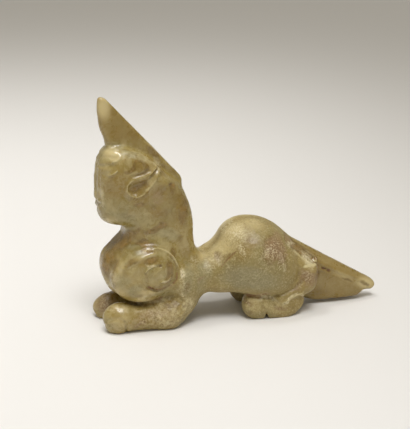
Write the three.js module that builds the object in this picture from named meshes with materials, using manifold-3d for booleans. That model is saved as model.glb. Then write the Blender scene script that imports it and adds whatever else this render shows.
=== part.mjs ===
// Jade mythical beast, carved from one pebble: a crouching animal with an upswept crest and a blade-like
// tail. Millimetres, +Z up. The beast faces -X and its left side faces -Y. While it is being carved, X runs
// back from the front of the face, the ground is Z = 0, the middle plane is Y = 0 and s is the distance from
// it.
import * as THREE from "three";
import { mergeVertices } from "three/addons/utils/BufferGeometryUtils.js";
import Module from "manifold-3d";

// Driving dimensions
const LENGTH = 76.2; // front of the paws to the tip of the tail
const CREST_TIP_HEIGHT = 59.6;
const BROW_HEIGHT = 48.2; // top of the head, where the crest leaves it
const CHIN_HEIGHT = 26.8;
const FACE_HALF_WIDTH = 6.9;
const NAPE = { x: 21.9, z: 38.5 }; // the corner where the crest ends
const CHEST_HALF_WIDTH = 6.6; // under the head; the breast is narrower
const WAIST = { x: 27.2, top: 17.4, under: 7.6, halfWidth: 7.6 };
const SHOULDER = { x: 11.4, y: 5.2, z: 15.1, long: 9.1, high: 7.5, deep: 5, lean: 17, full: 2.6 };
const FOREARM_Y = 6.2;
const FAR_PAW = { lead: 0.6, inward: 1.4, low: 1.4 }; // how the right forepaw differs from the left
const ELBOW = { x: 16.6, z: 9.3, reach: 9.2, radius: 3.6, inward: 0.9 }; // the elbow turns round this centre
const HAUNCH = { x: 42.3, z: 15.6, long: 11.6, high: 9, deep: 10.3, lean: -35, full: 2.2 };
const THIGH = { x: 42.6, y: 5.9, z: 13.2, long: 9.4, high: 7.2, deep: 4.4, lean: -30, full: 2.6 };
const HIND_FOOT_Y = 6.1;
const HOCK = { x: 54.2, y: 5.6, z: 12.4 };
const TAIL_ROOF = 2.5; // how far the roof of the tail drops from its ridge to its side
const SOLE_DEPTH = 1.5; // the stone below the ground, which the flat cut takes off

// Rounding of the edges where two faces meet; the front of the crest goes by its half-width
const ROUND = { breast: 5, nape: 4, trunkEnds: 3, face: 5.2, crown: 2.8, jaw: 2.2, back: 5, belly: 2.6 };
const BLADE_ROUND = { crestFront: 0.9, crestBack: 0.7, crestCorner: 0.6, roof: 0.4, keel: 1.2, ends: 1 };

// Fillets where the forms run into each other
const FILLET = { head: 1.4, crest: 0.5, body: 1.6, haunch: 2.6, thigh: 3, tail: 0.7 };
const SHOULDER_FILLET = { front: 0.5, back: 2.7 };
const LEG_FILLET = { pad: 0.3, paw: 2, elbow: 2.6, web: 1.5, front: 1.2, back: 3 };
const BEHIND = { from: 9, over: 6 }; // the stretch of x over which the front fillets grow into the back ones
const HIND_FILLET = { facet: 0.35, shank: 1.2, toes: 3.2, notch: 0.25, foot: 0.5, whole: 0.6 };

// Meshing
const CELL = 0.5;
const MOST_TRIANGLES = 9600;
const FLAT = 1e-4; // corners this close to the ground lie on it
const MARGIN = 1.6; // empty room round the carving in the field's box

const rad = THREE.MathUtils.degToRad;
const { hypot, max, min, abs } = Math;
const clamp = (value, low, high) => min(max(value, low), high);

// A smooth line through [place, value] keys, level beyond its ends; gives the value and the slope at t
function line(...keys) {
  const end = keys.length - 1;
  const slopes = keys.map((key, i) => {
    const [t0, v0] = keys[max(i - 1, 0)];
    const [t1, v1] = keys[min(i + 1, end)];
    return (v1 - v0) / (t1 - t0);
  });
  return (t) => {
    if (t <= keys[0][0]) return [keys[0][1], 0];
    if (t >= keys[end][0]) return [keys[end][1], 0];
    let i = 0;
    while (t > keys[i + 1][0]) i += 1;
    const [t0, v0] = keys[i];
    const [t1, v1] = keys[i + 1];
    const span = t1 - t0;
    const u = (t - t0) / span;
    const a = slopes[i] * span;
    const b = slopes[i + 1] * span;
    const rise = v1 - v0;
    const value = v0 + u * (a + u * (3 * rise - 2 * a - b + u * (a + b - 2 * rise)));
    const slope = (a + u * (2 * (3 * rise - 2 * a - b) + u * 3 * (a + b - 2 * rise))) / span;
    return [value, slope];
  };
}

// How far v lies above a line at t, measured square to it
function above(edge, t, v) {
  const [value, slope] = edge(t);
  return (v - value) / hypot(1, slope);
}

// Union with a fillet of radius r, and common part with its edge rounded to radius r
const join = (a, b, r) => max(r, min(a, b)) - hypot(max(r - a, 0), max(r - b, 0));
const meet = (a, b, r) => min(-r, max(a, b)) + hypot(max(r + a, 0), max(r + b, 0));

// Ellipsoid with radii [rx, ry, rz]
function egg(x, y, z, [rx, ry, rz]) {
  const k0 = hypot(x / rx, y / ry, z / rz);
  const k1 = hypot(x / (rx * rx), y / (ry * ry), z / (rz * rz));
  return k1 < 1e-9 ? -min(rx, ry, rz) : (k0 * (k0 - 1)) / k1;
}

// Pebble: an ellipse in the XZ plane, turned by its lean and rounded to its faces; full above 2 fills it out
function pebble(x, y, z, { long, high, deep, lean = 0, full }) {
  const c = Math.cos(rad(lean));
  const s = Math.sin(rad(lean));
  const u = x * c + z * s;
  const w = z * c - x * s;
  const size = (hypot(u / long, w / high) ** full + abs(y / deep) ** full) ** (1 / full);
  return size < 0.05 ? -min(long, high, deep) : hypot(x, y, z) * (1 - 1 / size);
}

// A rod from a to b, [x, y, z, radius] each, whose radius changes evenly
function rod(x, y, z, a, b) {
  const dx = b[0] - a[0];
  const dy = b[1] - a[1];
  const dz = b[2] - a[2];
  const along = ((x - a[0]) * dx + (y - a[1]) * dy + (z - a[2]) * dz) / (dx * dx + dy * dy + dz * dz);
  const t = clamp(along, 0, 1);
  return hypot(x - a[0] - t * dx, y - a[1] - t * dy, z - a[2] - t * dz) - (a[3] + t * (b[3] - a[3]));
}

// Neck and chest: a slab with a full breast, a drawn-in throat and a sloping nape
const TRUNK = { base: 7.2, top: 39.5 };
const breast = line(
  [3, 7.6], [7, 5], [10, 2.8], [13, 1.4], [16, 0.9],
  [19, 1.7], [21.6, 4.2], [24.2, 6.7], [28, 7], [34, 6.4],
);
const nape = line(
  [4, 23], [10, 26.4], [14, 27.2], [18, 26.6], [20, 25.2], [23, 24.7],
  [27, 24.6], [31, 23.9], [35, 22.5], [38, 21.2], [40, 20.4],
);
const neckWidth = line(
  [4, 5.6], [10, 5.6], [16, 5.8], [21, 6.4], [24, CHEST_HALF_WIDTH], [30, 6.5], [38, 5.6],
);
function trunk(x, s, z) {
  const side = s - neckWidth(z)[0];
  const front = meet(-above(breast, z, x), side, ROUND.breast);
  const slab = meet(front, meet(above(nape, z, x), side, ROUND.nape), 0.5);
  return meet(meet(slab, TRUNK.base - z, ROUND.trunkEnds), z - TRUNK.top, ROUND.trunkEnds);
}

// Head: flat cheeks, an upright face and a top that slopes back to the nape
const HEAD = { back: 20.5, narrowFrom: 10, narrowBy: 0.06 };
const face = line(
  [25.6, 6], [26.6, 4], [27.8, 2], [29.6, 0.8], [33, 0.45],
  [38, 0.4], [42, 0.6], [44.5, 1.2], [46.8, 2.3], [48.8, 4.2],
);
const crown = line(
  [0, 48], [4.9, BROW_HEIGHT], [8.1, 47.1], [11.1, 45.9], [13.6, 44.1], [16, 41.8], [19, 39.2], [24, 36],
);
const jaw = line([2, CHIN_HEIGHT - 0.2], [5, CHIN_HEIGHT - 0.5], [9, 26.6], [14, 28], [20, 31]);
const cheek = line([27, 5.2], [31, 6.4], [37, FACE_HALF_WIDTH], [42, 6.6], [46, 5.6], [48.5, 4.4]);
function head(x, s, z) {
  const side = s - cheek(z)[0] + HEAD.narrowBy * max(x - HEAD.narrowFrom, 0);
  const profile = meet(-above(face, z, x), side, ROUND.face);
  const top = meet(profile, above(crown, x, z), ROUND.crown);
  return meet(meet(top, -above(jaw, x, z), ROUND.jaw), x - HEAD.back, ROUND.trunkEnds);
}

// Crest: a blade on the middle plane, hollow in front, straight behind, and wider towards the head
const CREST = { backTip: { x: 3.3, z: 59.2 }, root: 36, tipHalfWidth: 1.1, widening: 0.085 };
const crestFront = line(
  [40, 4], [46, 3], [49, 2.5], [51.8, 1.6], [54, 1.3], [56.5, 1.1], [CREST_TIP_HEIGHT, 1.3],
);
function crest(x, s, z) {
  const { backTip, root, tipHalfWidth, widening } = CREST;
  const fall = (backTip.z - NAPE.z) / (NAPE.x - backTip.x);
  const behind = (z - backTip.z + fall * (x - backTip.x)) / hypot(1, fall);
  const halfWidth = tipHalfWidth + widening * (CREST_TIP_HEIGHT - z);
  const blade = meet(-above(crestFront, z, x), s - halfWidth, BLADE_ROUND.crestFront * halfWidth);
  const cut = meet(meet(blade, behind, BLADE_ROUND.crestBack), x - NAPE.x, BLADE_ROUND.crestCorner);
  return meet(meet(cut, root - z, BLADE_ROUND.ends), z - CREST_TIP_HEIGHT, BLADE_ROUND.crestBack);
}

// Shoulder: the egg-shaped boss at each side
const shoulder = (x, s, z) => pebble(x - SHOULDER.x, s - SHOULDER.y, z - SHOULDER.z, SHOULDER);

// Foreleg: the forearm lies flat on the ground, the elbow turns up behind the shoulder, and a web of stone
// is left between the elbows. far is 1 for the right foreleg, whose paw lies lower, closer in and further
// forward, and 0 for the left one.
const PAW = { x: 4.2, z: 3.9, radii: [4.1, 3, 3.5] };
const PAD = { x: 3.4, y: -0.2, z: 1.7, radii: [2.7, 2.6, 2.1] };
const FOREARM = { front: [5.4, 0, 3.5], frontRadius: 3.3, back: [17, 0.6, 3.1], backRadius: 3.2 };
const WRIST = { x: 12, span: 8 }; // the stretch over which the right forearm bends inward
const PAD_TOP = [[0.9, 3.4], [2.1, 4.4], [3.6, 4.6], [4.9, 3.9]];
const PAD_BACK = [[5, 3.8], [5.4, 2.6], [5.8, 0.6]];
const WEB = { x: 16.5, z: 8, long: 8, high: 5.5, deep: 6, full: 2.4 };
function foreleg(x, s, z, far) {
  const bent = clamp((WRIST.x - x) / WRIST.span, 0, 1) * far;
  const u = x + FAR_PAW.lead * bent;
  const v = s - FOREARM_Y + FAR_PAW.inward * bent;
  const low = FAR_PAW.low * bent;
  const [rx, ry, rz] = PAW.radii;
  const paw = egg(u - PAW.x, v, z - PAW.z + low, [rx, ry, rz - 0.3 * low]);
  const pad = egg(u - PAD.x, v - PAD.y, z - PAD.z + 0.3 * low, PAD.radii);
  const wrist = [FOREARM.front[0], FOREARM.front[1], FOREARM.front[2] - 0.7 * low, FOREARM.frontRadius];
  const arm = rod(u, v, z, wrist, [...FOREARM.back, FOREARM.backRadius]);
  const turn = clamp(Math.atan2(z - ELBOW.z, x - ELBOW.x), -Math.PI / 2, rad(35));
  const bend = ELBOW.reach - ELBOW.radius;
  const elbowX = ELBOW.x + bend * Math.cos(turn);
  const elbowZ = ELBOW.z + bend * Math.sin(turn);
  const elbow = hypot(x - elbowX, z - elbowZ, v + ELBOW.inward) - ELBOW.radius;
  const web = pebble(x - WEB.x, s, z - WEB.z, WEB);
  const hand = join(join(paw, pad, LEG_FILLET.pad), arm, LEG_FILLET.paw);
  const crease = 0.22 * band(u, z + 0.5 * low, 0.7, PAD_TOP) + 0.5 * band(u, z, 0.8, PAD_BACK);
  const creased = hand + crease * clamp(v / 1.2, 0, 1);
  return join(join(creased, elbow, LEG_FILLET.elbow), web, LEG_FILLET.web);
}

// Waist and belly: the bar of the body between the elbows and the hind feet
const BODY = { front: 18, back: 54 };
const spine = line(
  [20, 16.4], [24, 16.7], [WAIST.x, WAIST.top - 0.5], [30, 18.2], [34, 18.8], [40, 18], [50, 15], [56, 12],
);
const belly = line([18, 9], [24, 8.8], [WAIST.x + 3, WAIST.under], [35, 7.3], [41, 6.4], [48, 6.4], [54, 8]);
const flank = line([20, 8], [WAIST.x, WAIST.halfWidth], [32, 7.8], [40, 8], [46, 6.6], [51, 5], [56, 3.8]);
function body(x, s, z) {
  const upper = meet(above(spine, x, z), s - flank(x)[0], ROUND.back);
  const ends = max(BODY.front - x, x - BODY.back);
  return meet(meet(upper, -above(belly, x, z), ROUND.belly), ends, 2);
}

// Haunch: the rump as one leaning dome, with a thigh standing out at each side
function haunch(x, s, z) {
  const rump = pebble(x - HAUNCH.x, s, z - HAUNCH.z, HAUNCH);
  return join(rump, pebble(x - THIGH.x, s - THIGH.y, z - THIGH.z, THIGH), FILLET.thigh);
}

// Lower hind leg: a hock with one flat facet, a shank running down from it, and a foot whose sole is notched
// behind the toes
const KNOB = { x: 49, y: HOCK.y - 1, z: HOCK.z + 3.8, radius: 2.8, endRadius: 3.2, endDrop: 0.9, slope: 0.6 };
const FACET_DEPTH = 2.8; // from the middle of the hock out to its facet
const TOES = { x: 40.7, z: 3.6, long: 3.9, high: 4, deep: 3, full: 2.5 };
const HEEL = { x: 48.4, z: 2.6, long: 5.5, high: 3.3, deep: 3.1, lean: 20, full: 2.6 };
const NOTCH = [[43, -0.1, 0.8], [42.8, 0.9, 0.25]];
function hindLeg(x, s, z) {
  const y = HIND_FOOT_Y;
  const end = HOCK.z - KNOB.endDrop;
  const round = rod(x, s, z, [KNOB.x, KNOB.y, KNOB.z, KNOB.radius], [HOCK.x, HOCK.y, end, KNOB.endRadius]);
  const facet = (s - HOCK.y + z - end - KNOB.slope * (HOCK.x - x)) * Math.SQRT1_2 - FACET_DEPTH;
  const knob = meet(round, facet, HIND_FILLET.facet);
  const shank = rod(x, s, z, [HOCK.x - 0.2, y - 0.1, 8.6, 3.2], [47, y + 0.6, 5.2, 2.6]);
  const heel = pebble(x - HEEL.x, s - y, z - HEEL.z, HEEL);
  const toes = pebble(x - TOES.x, s - y, z - TOES.z, TOES);
  const foot = meet(join(heel, toes, HIND_FILLET.toes), -stroke(x, z, NOTCH), HIND_FILLET.notch);
  return join(join(knob, shank, HIND_FILLET.shank), foot, HIND_FILLET.foot);
}

// Tail: a keeled blade with a roof, resting on the ground and notched under its tip
const TAIL = { root: 45, ridgeHalfWidth: 0.7, undercut: 0.16, eavesDrop: 2 };
const ridge = line(
  [44, 24.2], [48, 21.6], [51.6, 19.2], [55.3, 16.9], [60.1, 14],
  [65.8, 10.6], [71.7, 7.1], [74.6, 5.3], [76.3, 3.9],
);
const keel = line(
  [46, 9], [50, 5.5], [54, 2.6], [58, 1.1], [62, 0.9], [67, 0.8],
  [70.4, 1], [71.5, 1.5], [72.6, 2.3], [74.8, 2.2], [76.3, 2.8],
);
const tailWidth = line([46, 4.6], [52, 3.9], [57, 3.8], [60, 3.7], [68, 2.8], [74, 1.7], [76.3, 1.1]);
function tail(x, s, z) {
  const halfWidth = tailWidth(x)[0];
  const [top, slope] = ridge(x);
  const lean = TAIL_ROOF / halfWidth;
  const roof = (z - top + lean * max(s - TAIL.ridgeHalfWidth, 0)) / hypot(1, slope, lean);
  const eaves = top - TAIL_ROOF - TAIL.eavesDrop;
  const side = s - halfWidth + TAIL.undercut * max(eaves - z, 0);
  const keeled = meet(meet(roof, side, BLADE_ROUND.roof), -above(keel, x, z), BLADE_ROUND.keel);
  return meet(meet(keeled, x - LENGTH, BLADE_ROUND.ends), TAIL.root - x, BLADE_ROUND.ends);
}

// How strongly a mark of half-width w shows at distance d from its middle
const mark = (d, w) => (abs(d) < w ? (1 - (d / w) ** 2) ** 2 : 0);

// Distance in the XZ plane to a stroke through [x, z, half-width] points; negative inside the stroke
function stroke(x, z, points) {
  let nearest = Infinity;
  for (let i = 0; i + 1 < points.length; i += 1) {
    const [ax, az, ar = 0] = points[i];
    const [bx, bz, br = 0] = points[i + 1];
    nearest = min(nearest, rod(x, 0, z, [ax, 0, az, ar], [bx, 0, bz, br]));
  }
  return nearest;
}

// A band along a stroke, and a round spot: 1 in the middle, fading to 0 at the given half-width or radii
const band = (x, z, halfWidth, points) => mark(max(stroke(x, z, points), 0), halfWidth);
const spot = (x, z, [atX, atZ], long, high = long) => mark(hypot((x - atX) / long, (z - atZ) / high), 1);

// Carving on the sides of the head: above 0 stands proud, below 0 is cut in
const EAR_HOLLOW = [[8.6, 37.6, 1.4], [12, 39.2, 0.6], [14.9, 42, 0.1]];
const EAR_FRONT = [[10.8, 35.9], [9.4, 35.4], [7.9, 35.9], [6.9, 37.2], [7, 38.6], [8, 39.6], [10, 40.2]];
const EAR_TOP = [[10, 40.2], [11.5, 40.4], [13.3, 41.3], [14.8, 42.5]];
const EAR_BACK = [[10.8, 35.9], [11.8, 36.9], [13.5, 38.6], [14.8, 40.3], [15.6, 41.6]];
const UPPER_LID = [[0.6, 43.4], [2.2, 44.3], [3.7, 44.5], [5, 44.9], [5.7, 45.8]];
const LOWER_LID = [[2.6, 41.2], [3.6, 41.7], [4.7, 42.5]];
const EYE_CREASE = [[0.8, 42.9], [2.4, 43.3], [4.2, 43.6]];
const CREST_FOOT = [[5.8, 47.1], [8, 46.6], [10.8, 45.4], [13.2, 43.9], [14.8, 42.4]];
function headCarving(x, z) {
  const hollow = clamp((0.1 - stroke(x, z, EAR_HOLLOW)) / 0.7, 0, 1);
  const rims = [band(x, z, 0.8, EAR_FRONT), band(x, z, 0.8, EAR_TOP), band(x, z, 1.1, EAR_BACK)];
  const ear = 0.32 * max(...rims) - 0.95 * hollow;
  const brow = 0.36 * spot(x, z, [4.3, 46.5], 2.6, 1.2);
  const lids = 0.24 * band(x, z, 0.75, UPPER_LID) + 0.3 * band(x, z, 0.75, LOWER_LID);
  const crease = 0.2 * band(x, z, 0.7, EYE_CREASE);
  const nape = 0.3 * spot(x, z, [16.6, 38.3], 2.4, 2);
  const foot = 0.22 * band(x, z, 1.2, CREST_FOOT);
  return ear + nape + foot + clamp((x - 0.4) / 1.2, 0, 1) * (brow + lids - crease);
}

// Carving on the front of the face: the nose ridge with its wings, and the mouth
const NOSE = { low: 34.6, high: 43, halfWidth: 1.5, wingY: 0.7, wing: 1.6 };
const MOUTH = { z: 33, halfWidth: 0.7, reach: 4, droop: 0.05 };
function faceCarving(s, z) {
  const ends = clamp(min((z - NOSE.low) / 1.5, (NOSE.high - z) / 3), 0, 1);
  const wings = mark(hypot(s - NOSE.wingY, 0.9 * (z - NOSE.low)), NOSE.wing);
  const mouth = s < MOUTH.reach ? mark(z - MOUTH.z - MOUTH.droop * s * s, MOUTH.halfWidth) : 0;
  return 0.5 * (mark(s, NOSE.halfWidth) * ends + wings - mouth);
}

// Carving on the shoulder. Turns are in degrees, clockwise from straight up: the groove starts above the
// boss, runs round behind it, closes in below it and winds up round its front.
const BOSS = { x: 13.1, z: 16.1, radius: 2.3, height: 0.45 };
const GROOVE = { start: 40, stop: 405, halfWidth: 0.9 };
const grooveRadius = line(
  [45, 5.2], [78, 5.7], [101, 6], [150, 5.4], [186, 4.6],
  [221, 3.7], [260, 2.9], [295, 2.3], [340, 1.9], [400, 1.9],
);
const grooveDepth = line(
  [50, 0], [80, 0.3], [101, 0.7], [125, 0.55], [150, 0.35], [186, 0.75],
  [215, 0.4], [260, 0.2], [300, 0.3], [340, 0.5], [380, 0.55], [405, 0],
);
const rimRadius = line([-30, 6.9], [-6, 6.35], [18, 6.05], [48, 5.95], [72, 6.2], [95, 6.6]);
const SHOULDER_RIDGE = [[5.2, 18.2], [7.4, 19.7], [9.5, 20.6], [11.3, 21.1], [13.7, 21.2]];
function shoulderCarving(x, z) {
  const r = hypot(x - BOSS.x, z - BOSS.z);
  const turn = (Math.atan2(x - BOSS.x, z - BOSS.z) / rad(1) + 360) % 360;
  const turns = [turn, turn + 360].filter((t) => t >= GROOVE.start && t <= GROOVE.stop);
  const cuts = turns.map((t) => grooveDepth(t)[0] * mark(r - grooveRadius(t)[0], GROOVE.halfWidth));
  const behind = turn > 180 ? turn - 360 : turn;
  const shown = clamp(min(behind + 40, 105 - behind) / 20, 0, 1);
  const rim = 0.3 * mark(r - rimRadius(behind)[0], 0.7) * shown;
  const slope = 0.3 * mark(r - 4.6, 1.6) * clamp(min(behind - 35, 135 - behind) / 25, 0, 1);
  const ridge = 0.35 * band(x, z, 0.85, SHOULDER_RIDGE);
  const lumps = 0.35 * spot(x, z, [20.1, 14.4], 0.9, 1.9) + 0.3 * spot(x, z, [20.2, 8.8], 1);
  return BOSS.height * mark(r, BOSS.radius) + rim + ridge + lumps - slope - max(0, ...cuts);
}

// Carving on the outer side of the hind leg: the groove between thigh and foot, and the rim of the foot
const THIGH_GROOVE = [[36.6, 7], [39, 6.8], [41.5, 6.3], [43.6, 6.1], [45.8, 6.3]];
const SHANK_GROOVE = [[45.5, 6.3], [47.6, 6.8], [50.3, 8], [52.3, 9.5]];
const FOOT_RIM = [[46.8, 4.2], [49, 5.1], [51.2, 6.3], [52.5, 6.1], [52.9, 4.8]];
function legCarving(x, s, z) {
  const cut = 0.6 * band(x, z, 0.85, THIGH_GROOVE) + 0.35 * band(x, z, 0.75, SHANK_GROOVE);
  const rim = 0.4 * band(x, z, 0.75, FOOT_RIM) - 0.3 * spot(x, z, [50, 3.2], 2.2, 1.6);
  return (rim - cut) * clamp((s - HIND_FOOT_Y) / 1.2, 0, 1);
}

// The hollow at the root of the tail, behind the raised edge of the thigh
const TAIL_HOLLOW = [[49.7, 19.7], [52.5, 17.2], [54.6, 15.3]];
const tailCarving = (x, s, z) => -0.9 * band(x, z, 1, TAIL_HOLLOW) * clamp((s - 1) / 1.2, 0, 1);

// The whole figure; y < 0 is its left side
const CARVED = { headAbove: 30, headBack: 20, faceBack: 5, shoulderBack: 24, legFront: 34, legBack: 60 };
function beast(x, y, z) {
  const s = abs(y);
  let d = join(trunk(x, s, z), head(x, s, z), FILLET.head);
  d = join(d, crest(x, s, z), FILLET.crest);
  if (z > CARVED.headAbove && x < CARVED.headBack) d -= headCarving(x, z) * clamp((s - 0.5) / 2, 0, 1);
  if (z > CARVED.headAbove && x < CARVED.faceBack) d -= faceCarving(s, z);
  d = join(d, body(x, s, z), FILLET.body);
  d = join(d, haunch(x, s, z), FILLET.haunch);
  d = join(d, tail(x, s, z) - tailCarving(x, s, z), FILLET.tail);
  d = join(d, hindLeg(x, s, z), HIND_FILLET.whole);
  if (x > CARVED.legFront && x < CARVED.legBack) d -= legCarving(x, s, z);
  const behind = clamp((x - BEHIND.from) / BEHIND.over, 0, 1);
  const fillet = ({ front, back }) => front + (back - front) * behind;
  d = join(d, foreleg(x, s, z, y > 0 ? 1 : 0), fillet(LEG_FILLET));
  d = join(d, shoulder(x, s, z), fillet(SHOULDER_FILLET));
  if (x < CARVED.shoulderBack) d -= shoulderCarving(x, z) * clamp((s - 5.5) / 1.5, 0, 1);
  return d;
}

// The surface field = 0 inside a box of [low, high] ranges: one corner in each cell that the surface crosses,
// and one square, cut in two, round each grid edge that it crosses
function skin(field, box, cell) {
  const count = box.map(([low, high]) => Math.ceil((high - low) / cell) + 1);
  const step = [1, count[0], count[0] * count[1]];
  const value = new Float64Array(step[2] * count[2]);
  const inside = (id) => value[id] < 0;
  const each = (work, short = 0) => {
    for (let k = 0; k < count[2] - short; k += 1)
      for (let j = 0; j < count[1] - short; j += 1)
        for (let i = 0; i < count[0] - short; i += 1) work(k * step[2] + j * step[1] + i, [i, j, k]);
  };
  each((id, at) => (value[id] = field(...at.map((n, axis) => box[axis][0] + n * cell))));
  const points = [];
  const corner = new Map();
  const cube = [0, 1, 2, 3, 4, 5, 6, 7];
  each((id, at) => {
    const ids = cube.map((n) => id + (n & 1) * step[0] + ((n >> 1) & 1) * step[1] + (n >> 2) * step[2]);
    const full = ids.filter(inside).length;
    if (full === 0 || full === 8) return;
    const sum = [0, 0, 0, 0];
    for (const n of cube)
      for (const axis of [0, 1, 2]) {
        const m = n | (1 << axis);
        if (m === n || inside(ids[n]) === inside(ids[m])) continue;
        const t = value[ids[n]] / (value[ids[n]] - value[ids[m]]);
        [0, 1, 2].forEach((i) => (sum[i] += ((n >> i) & 1) + (i === axis ? t : 0)));
        sum[3] += 1;
      }
    corner.set(id, points.length);
    points.push(at.map((n, i) => box[i][0] + (n + sum[i] / sum[3]) * cell));
  }, 1);
  const triangles = [];
  each((id) => {
    for (const axis of [0, 1, 2]) {
      if (inside(id) === inside(id + step[axis])) continue;
      const [u, v] = [step[(axis + 1) % 3], step[(axis + 2) % 3]];
      const square = [id - u - v, id - v, id, id - u].map((n) => corner.get(n));
      if (!inside(id)) square.reverse();
      const [a, b, c, d] = square;
      triangles.push([a, b, c], [a, c, d]);
    }
  }, 1);
  return { points: points.map((p) => settle(field, p)), triangles };
}

// Moves a point straight onto the surface of a field
function settle(field, point) {
  const feel = 0.02;
  let p = point;
  for (let round = 0; round < 3; round += 1) {
    const d = field(...p);
    const slope = [0, 1, 2].map((i) => (field(...p.map((v, n) => v + (n === i ? feel : 0))) - d) / feel);
    const steep = max(dot(slope, slope), 0.25);
    p = p.map((v, i) => v - clamp((d * slope[i]) / steep, -CELL / 2, CELL / 2));
  }
  return p;
}

// A heap that gives back the item with the lowest cost first
function heap() {
  const items = [];
  const swap = (i, j) => ([items[i], items[j]] = [items[j], items[i]]);
  const push = (item) => {
    let i = items.push(item) - 1;
    for (let up = (i - 1) >> 1; i > 0 && items[up].cost > items[i].cost; up = (i - 1) >> 1) {
      swap(i, up);
      i = up;
    }
  };
  const pop = () => {
    swap(0, items.length - 1);
    const lowest = items.pop();
    for (let i = 0, down = 1; down < items.length; down = 2 * i + 1) {
      if (down + 1 < items.length && items[down + 1].cost < items[down].cost) down += 1;
      if (items[i].cost <= items[down].cost) break;
      swap(i, down);
      i = down;
    }
    return lowest;
  };
  return { items, push, pop };
}

const take = (a, b) => [a[0] - b[0], a[1] - b[1], a[2] - b[2]];
const dot = (a, b) => a[0] * b[0] + a[1] * b[1] + a[2] * b[2];
const cross = (a, b) => [a[1] * b[2] - a[2] * b[1], a[2] * b[0] - a[0] * b[2], a[0] * b[1] - a[1] * b[0]];

// Thins a closed mesh: the edge whose loss bends the surface least is drawn together to one corner, again and
// again. Its ends may share only the two corners beside it, and no triangle may turn over, so the mesh stays
// closed. What stands on the ground stays on it.
const LONG_EDGE_COST = 1e-4; // keeps the triangles of flat places from growing long
const MOST_TURN = 0.5; // cosine of the furthest that a triangle may turn
const SLIVER = 0.08; // a triangle's least area, over its longest side squared
function thin({ points, triangles }, most) {
  const at = points.map((p) => [...p]);
  const faces = triangles.map((t) => [...t]);
  const around = at.map(() => new Set());
  const stamp = at.map(() => 0);
  const normalOf = ([a, b, c]) => cross(take(b, a), take(c, a));
  // A corner's planes add up to the ten sums of a quadric: how far a point lies from all of them
  const bend = at.map(() => new Float64Array(10));
  faces.forEach((face, f) => {
    const normal = normalOf(face.map((v) => at[v]));
    const area = hypot(...normal) || 1e-12;
    const [a, b, c] = normal.map((v) => v / area);
    const d = -dot([a, b, c], at[face[0]]);
    const sums = [a * a, a * b, a * c, a * d, b * b, b * c, b * d, c * c, c * d, d * d];
    for (const v of face) {
      around[v].add(f);
      sums.forEach((sum, i) => (bend[v][i] += sum * area));
    }
  });
  const costAt = ([xx, xy, xz, xc, yy, yz, yc, zz, zc, c], [x, y, z]) => {
    const mixed = xy * x * y + xz * x * z + yz * y * z + xc * x + yc * y + zc * z;
    return xx * x * x + yy * y * y + zz * z * z + 2 * mixed + c;
  };
  const best = (q, a, b) => {
    const mid = a.map((v, i) => (v + b[i]) / 2);
    const rows = [[q[0], q[1], q[2]], [q[1], q[4], q[5]], [q[2], q[5], q[7]]];
    const right = [-q[3], -q[6], -q[8]];
    const whole = dot(rows[0], cross(rows[1], rows[2]));
    const scale = q[0] + q[4] + q[7];
    const choices = [mid, a, b];
    if (whole > 1e-4 * scale ** 3) {
      const [u, v, w] = [cross(rows[1], rows[2]), cross(rows[2], rows[0]), cross(rows[0], rows[1])];
      choices.unshift([0, 1, 2].map((i) => (right[0] * u[i] + right[1] * v[i] + right[2] * w[i]) / whole));
    }
    const low = a[2] === 0 || b[2] === 0;
    const near = choices.filter((p) => hypot(...take(p, mid)) < 1.5 * hypot(...take(a, b)));
    const offers = near.map(([x, y, z]) => [x, y, low ? 0 : z]).map((p) => ({ p, cost: costAt(q, p) }));
    return offers.reduce((least, other) => (other.cost < least.cost ? other : least));
  };
  const queue = heap();
  const offer = (a, b) => {
    const q = bend[a].map((v, i) => v + bend[b][i]);
    const choice = best(q, at[a], at[b]);
    const length = hypot(...take(at[a], at[b]));
    const cost = choice.cost + LONG_EDGE_COST * length ** 4;
    queue.push({ cost, p: choice.p, a, b, key: [stamp[a], stamp[b]] });
  };
  const next = (v) => new Set([...around[v]].flatMap((f) => faces[f]).filter((n) => n !== v));
  at.forEach((_, v) => next(v).forEach((n) => v < n && offer(v, n)));
  const turns = (v, other, p) =>
    [...around[v]].some((f) => {
      if (faces[f].includes(other)) return false;
      const before = normalOf(faces[f].map((n) => at[n]));
      const corners = faces[f].map((n) => (n === v ? p : at[n]));
      const after = normalOf(corners);
      const sides = [0, 1, 2].map((i) => hypot(...take(corners[i], corners[(i + 1) % 3])));
      const size = hypot(...after);
      return dot(before, after) < MOST_TURN * hypot(...before) * size || size < SLIVER * max(...sides) ** 2;
    });
  let left = faces.length;
  while (left > most && queue.items.length > 0) {
    const { a, b, p, key } = queue.pop();
    if (around[a].size === 0 || around[b].size === 0 || key[0] !== stamp[a] || key[1] !== stamp[b]) continue;
    const shared = [...around[a]].filter((f) => around[b].has(f));
    const common = [...next(a)].filter((n) => next(b).has(n));
    if (shared.length !== 2 || common.length !== 2 || turns(a, b, p) || turns(b, a, p)) continue;
    for (const f of shared) {
      faces[f].forEach((v) => around[v].delete(f));
      faces[f] = null;
      left -= 1;
    }
    for (const f of around[b]) {
      faces[f][faces[f].indexOf(b)] = a;
      around[a].add(f);
    }
    around[b].clear();
    at[a] = p;
    bend[a] = bend[a].map((v, i) => v + bend[b][i]);
    stamp[a] += 1;
    for (const n of next(a)) offer(a, n);
  }
  const kept = faces.filter(Boolean);
  const name = new Map();
  kept.flat().forEach((v) => name.has(v) || name.set(v, name.size));
  const numbered = kept.map((t) => t.map((v) => name.get(v)));
  return { points: [...name.keys()].map((v) => at[v]), triangles: numbered };
}

// The rough block: the whole field as a mesh, down to below the ground
const box = [
  [-MARGIN, LENGTH + MARGIN],
  [-HAUNCH.deep - MARGIN, HAUNCH.deep + MARGIN],
  [-SOLE_DEPTH - MARGIN, CREST_TIP_HEIGHT + MARGIN],
];
const stone = skin(beast, box, CELL);

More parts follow.
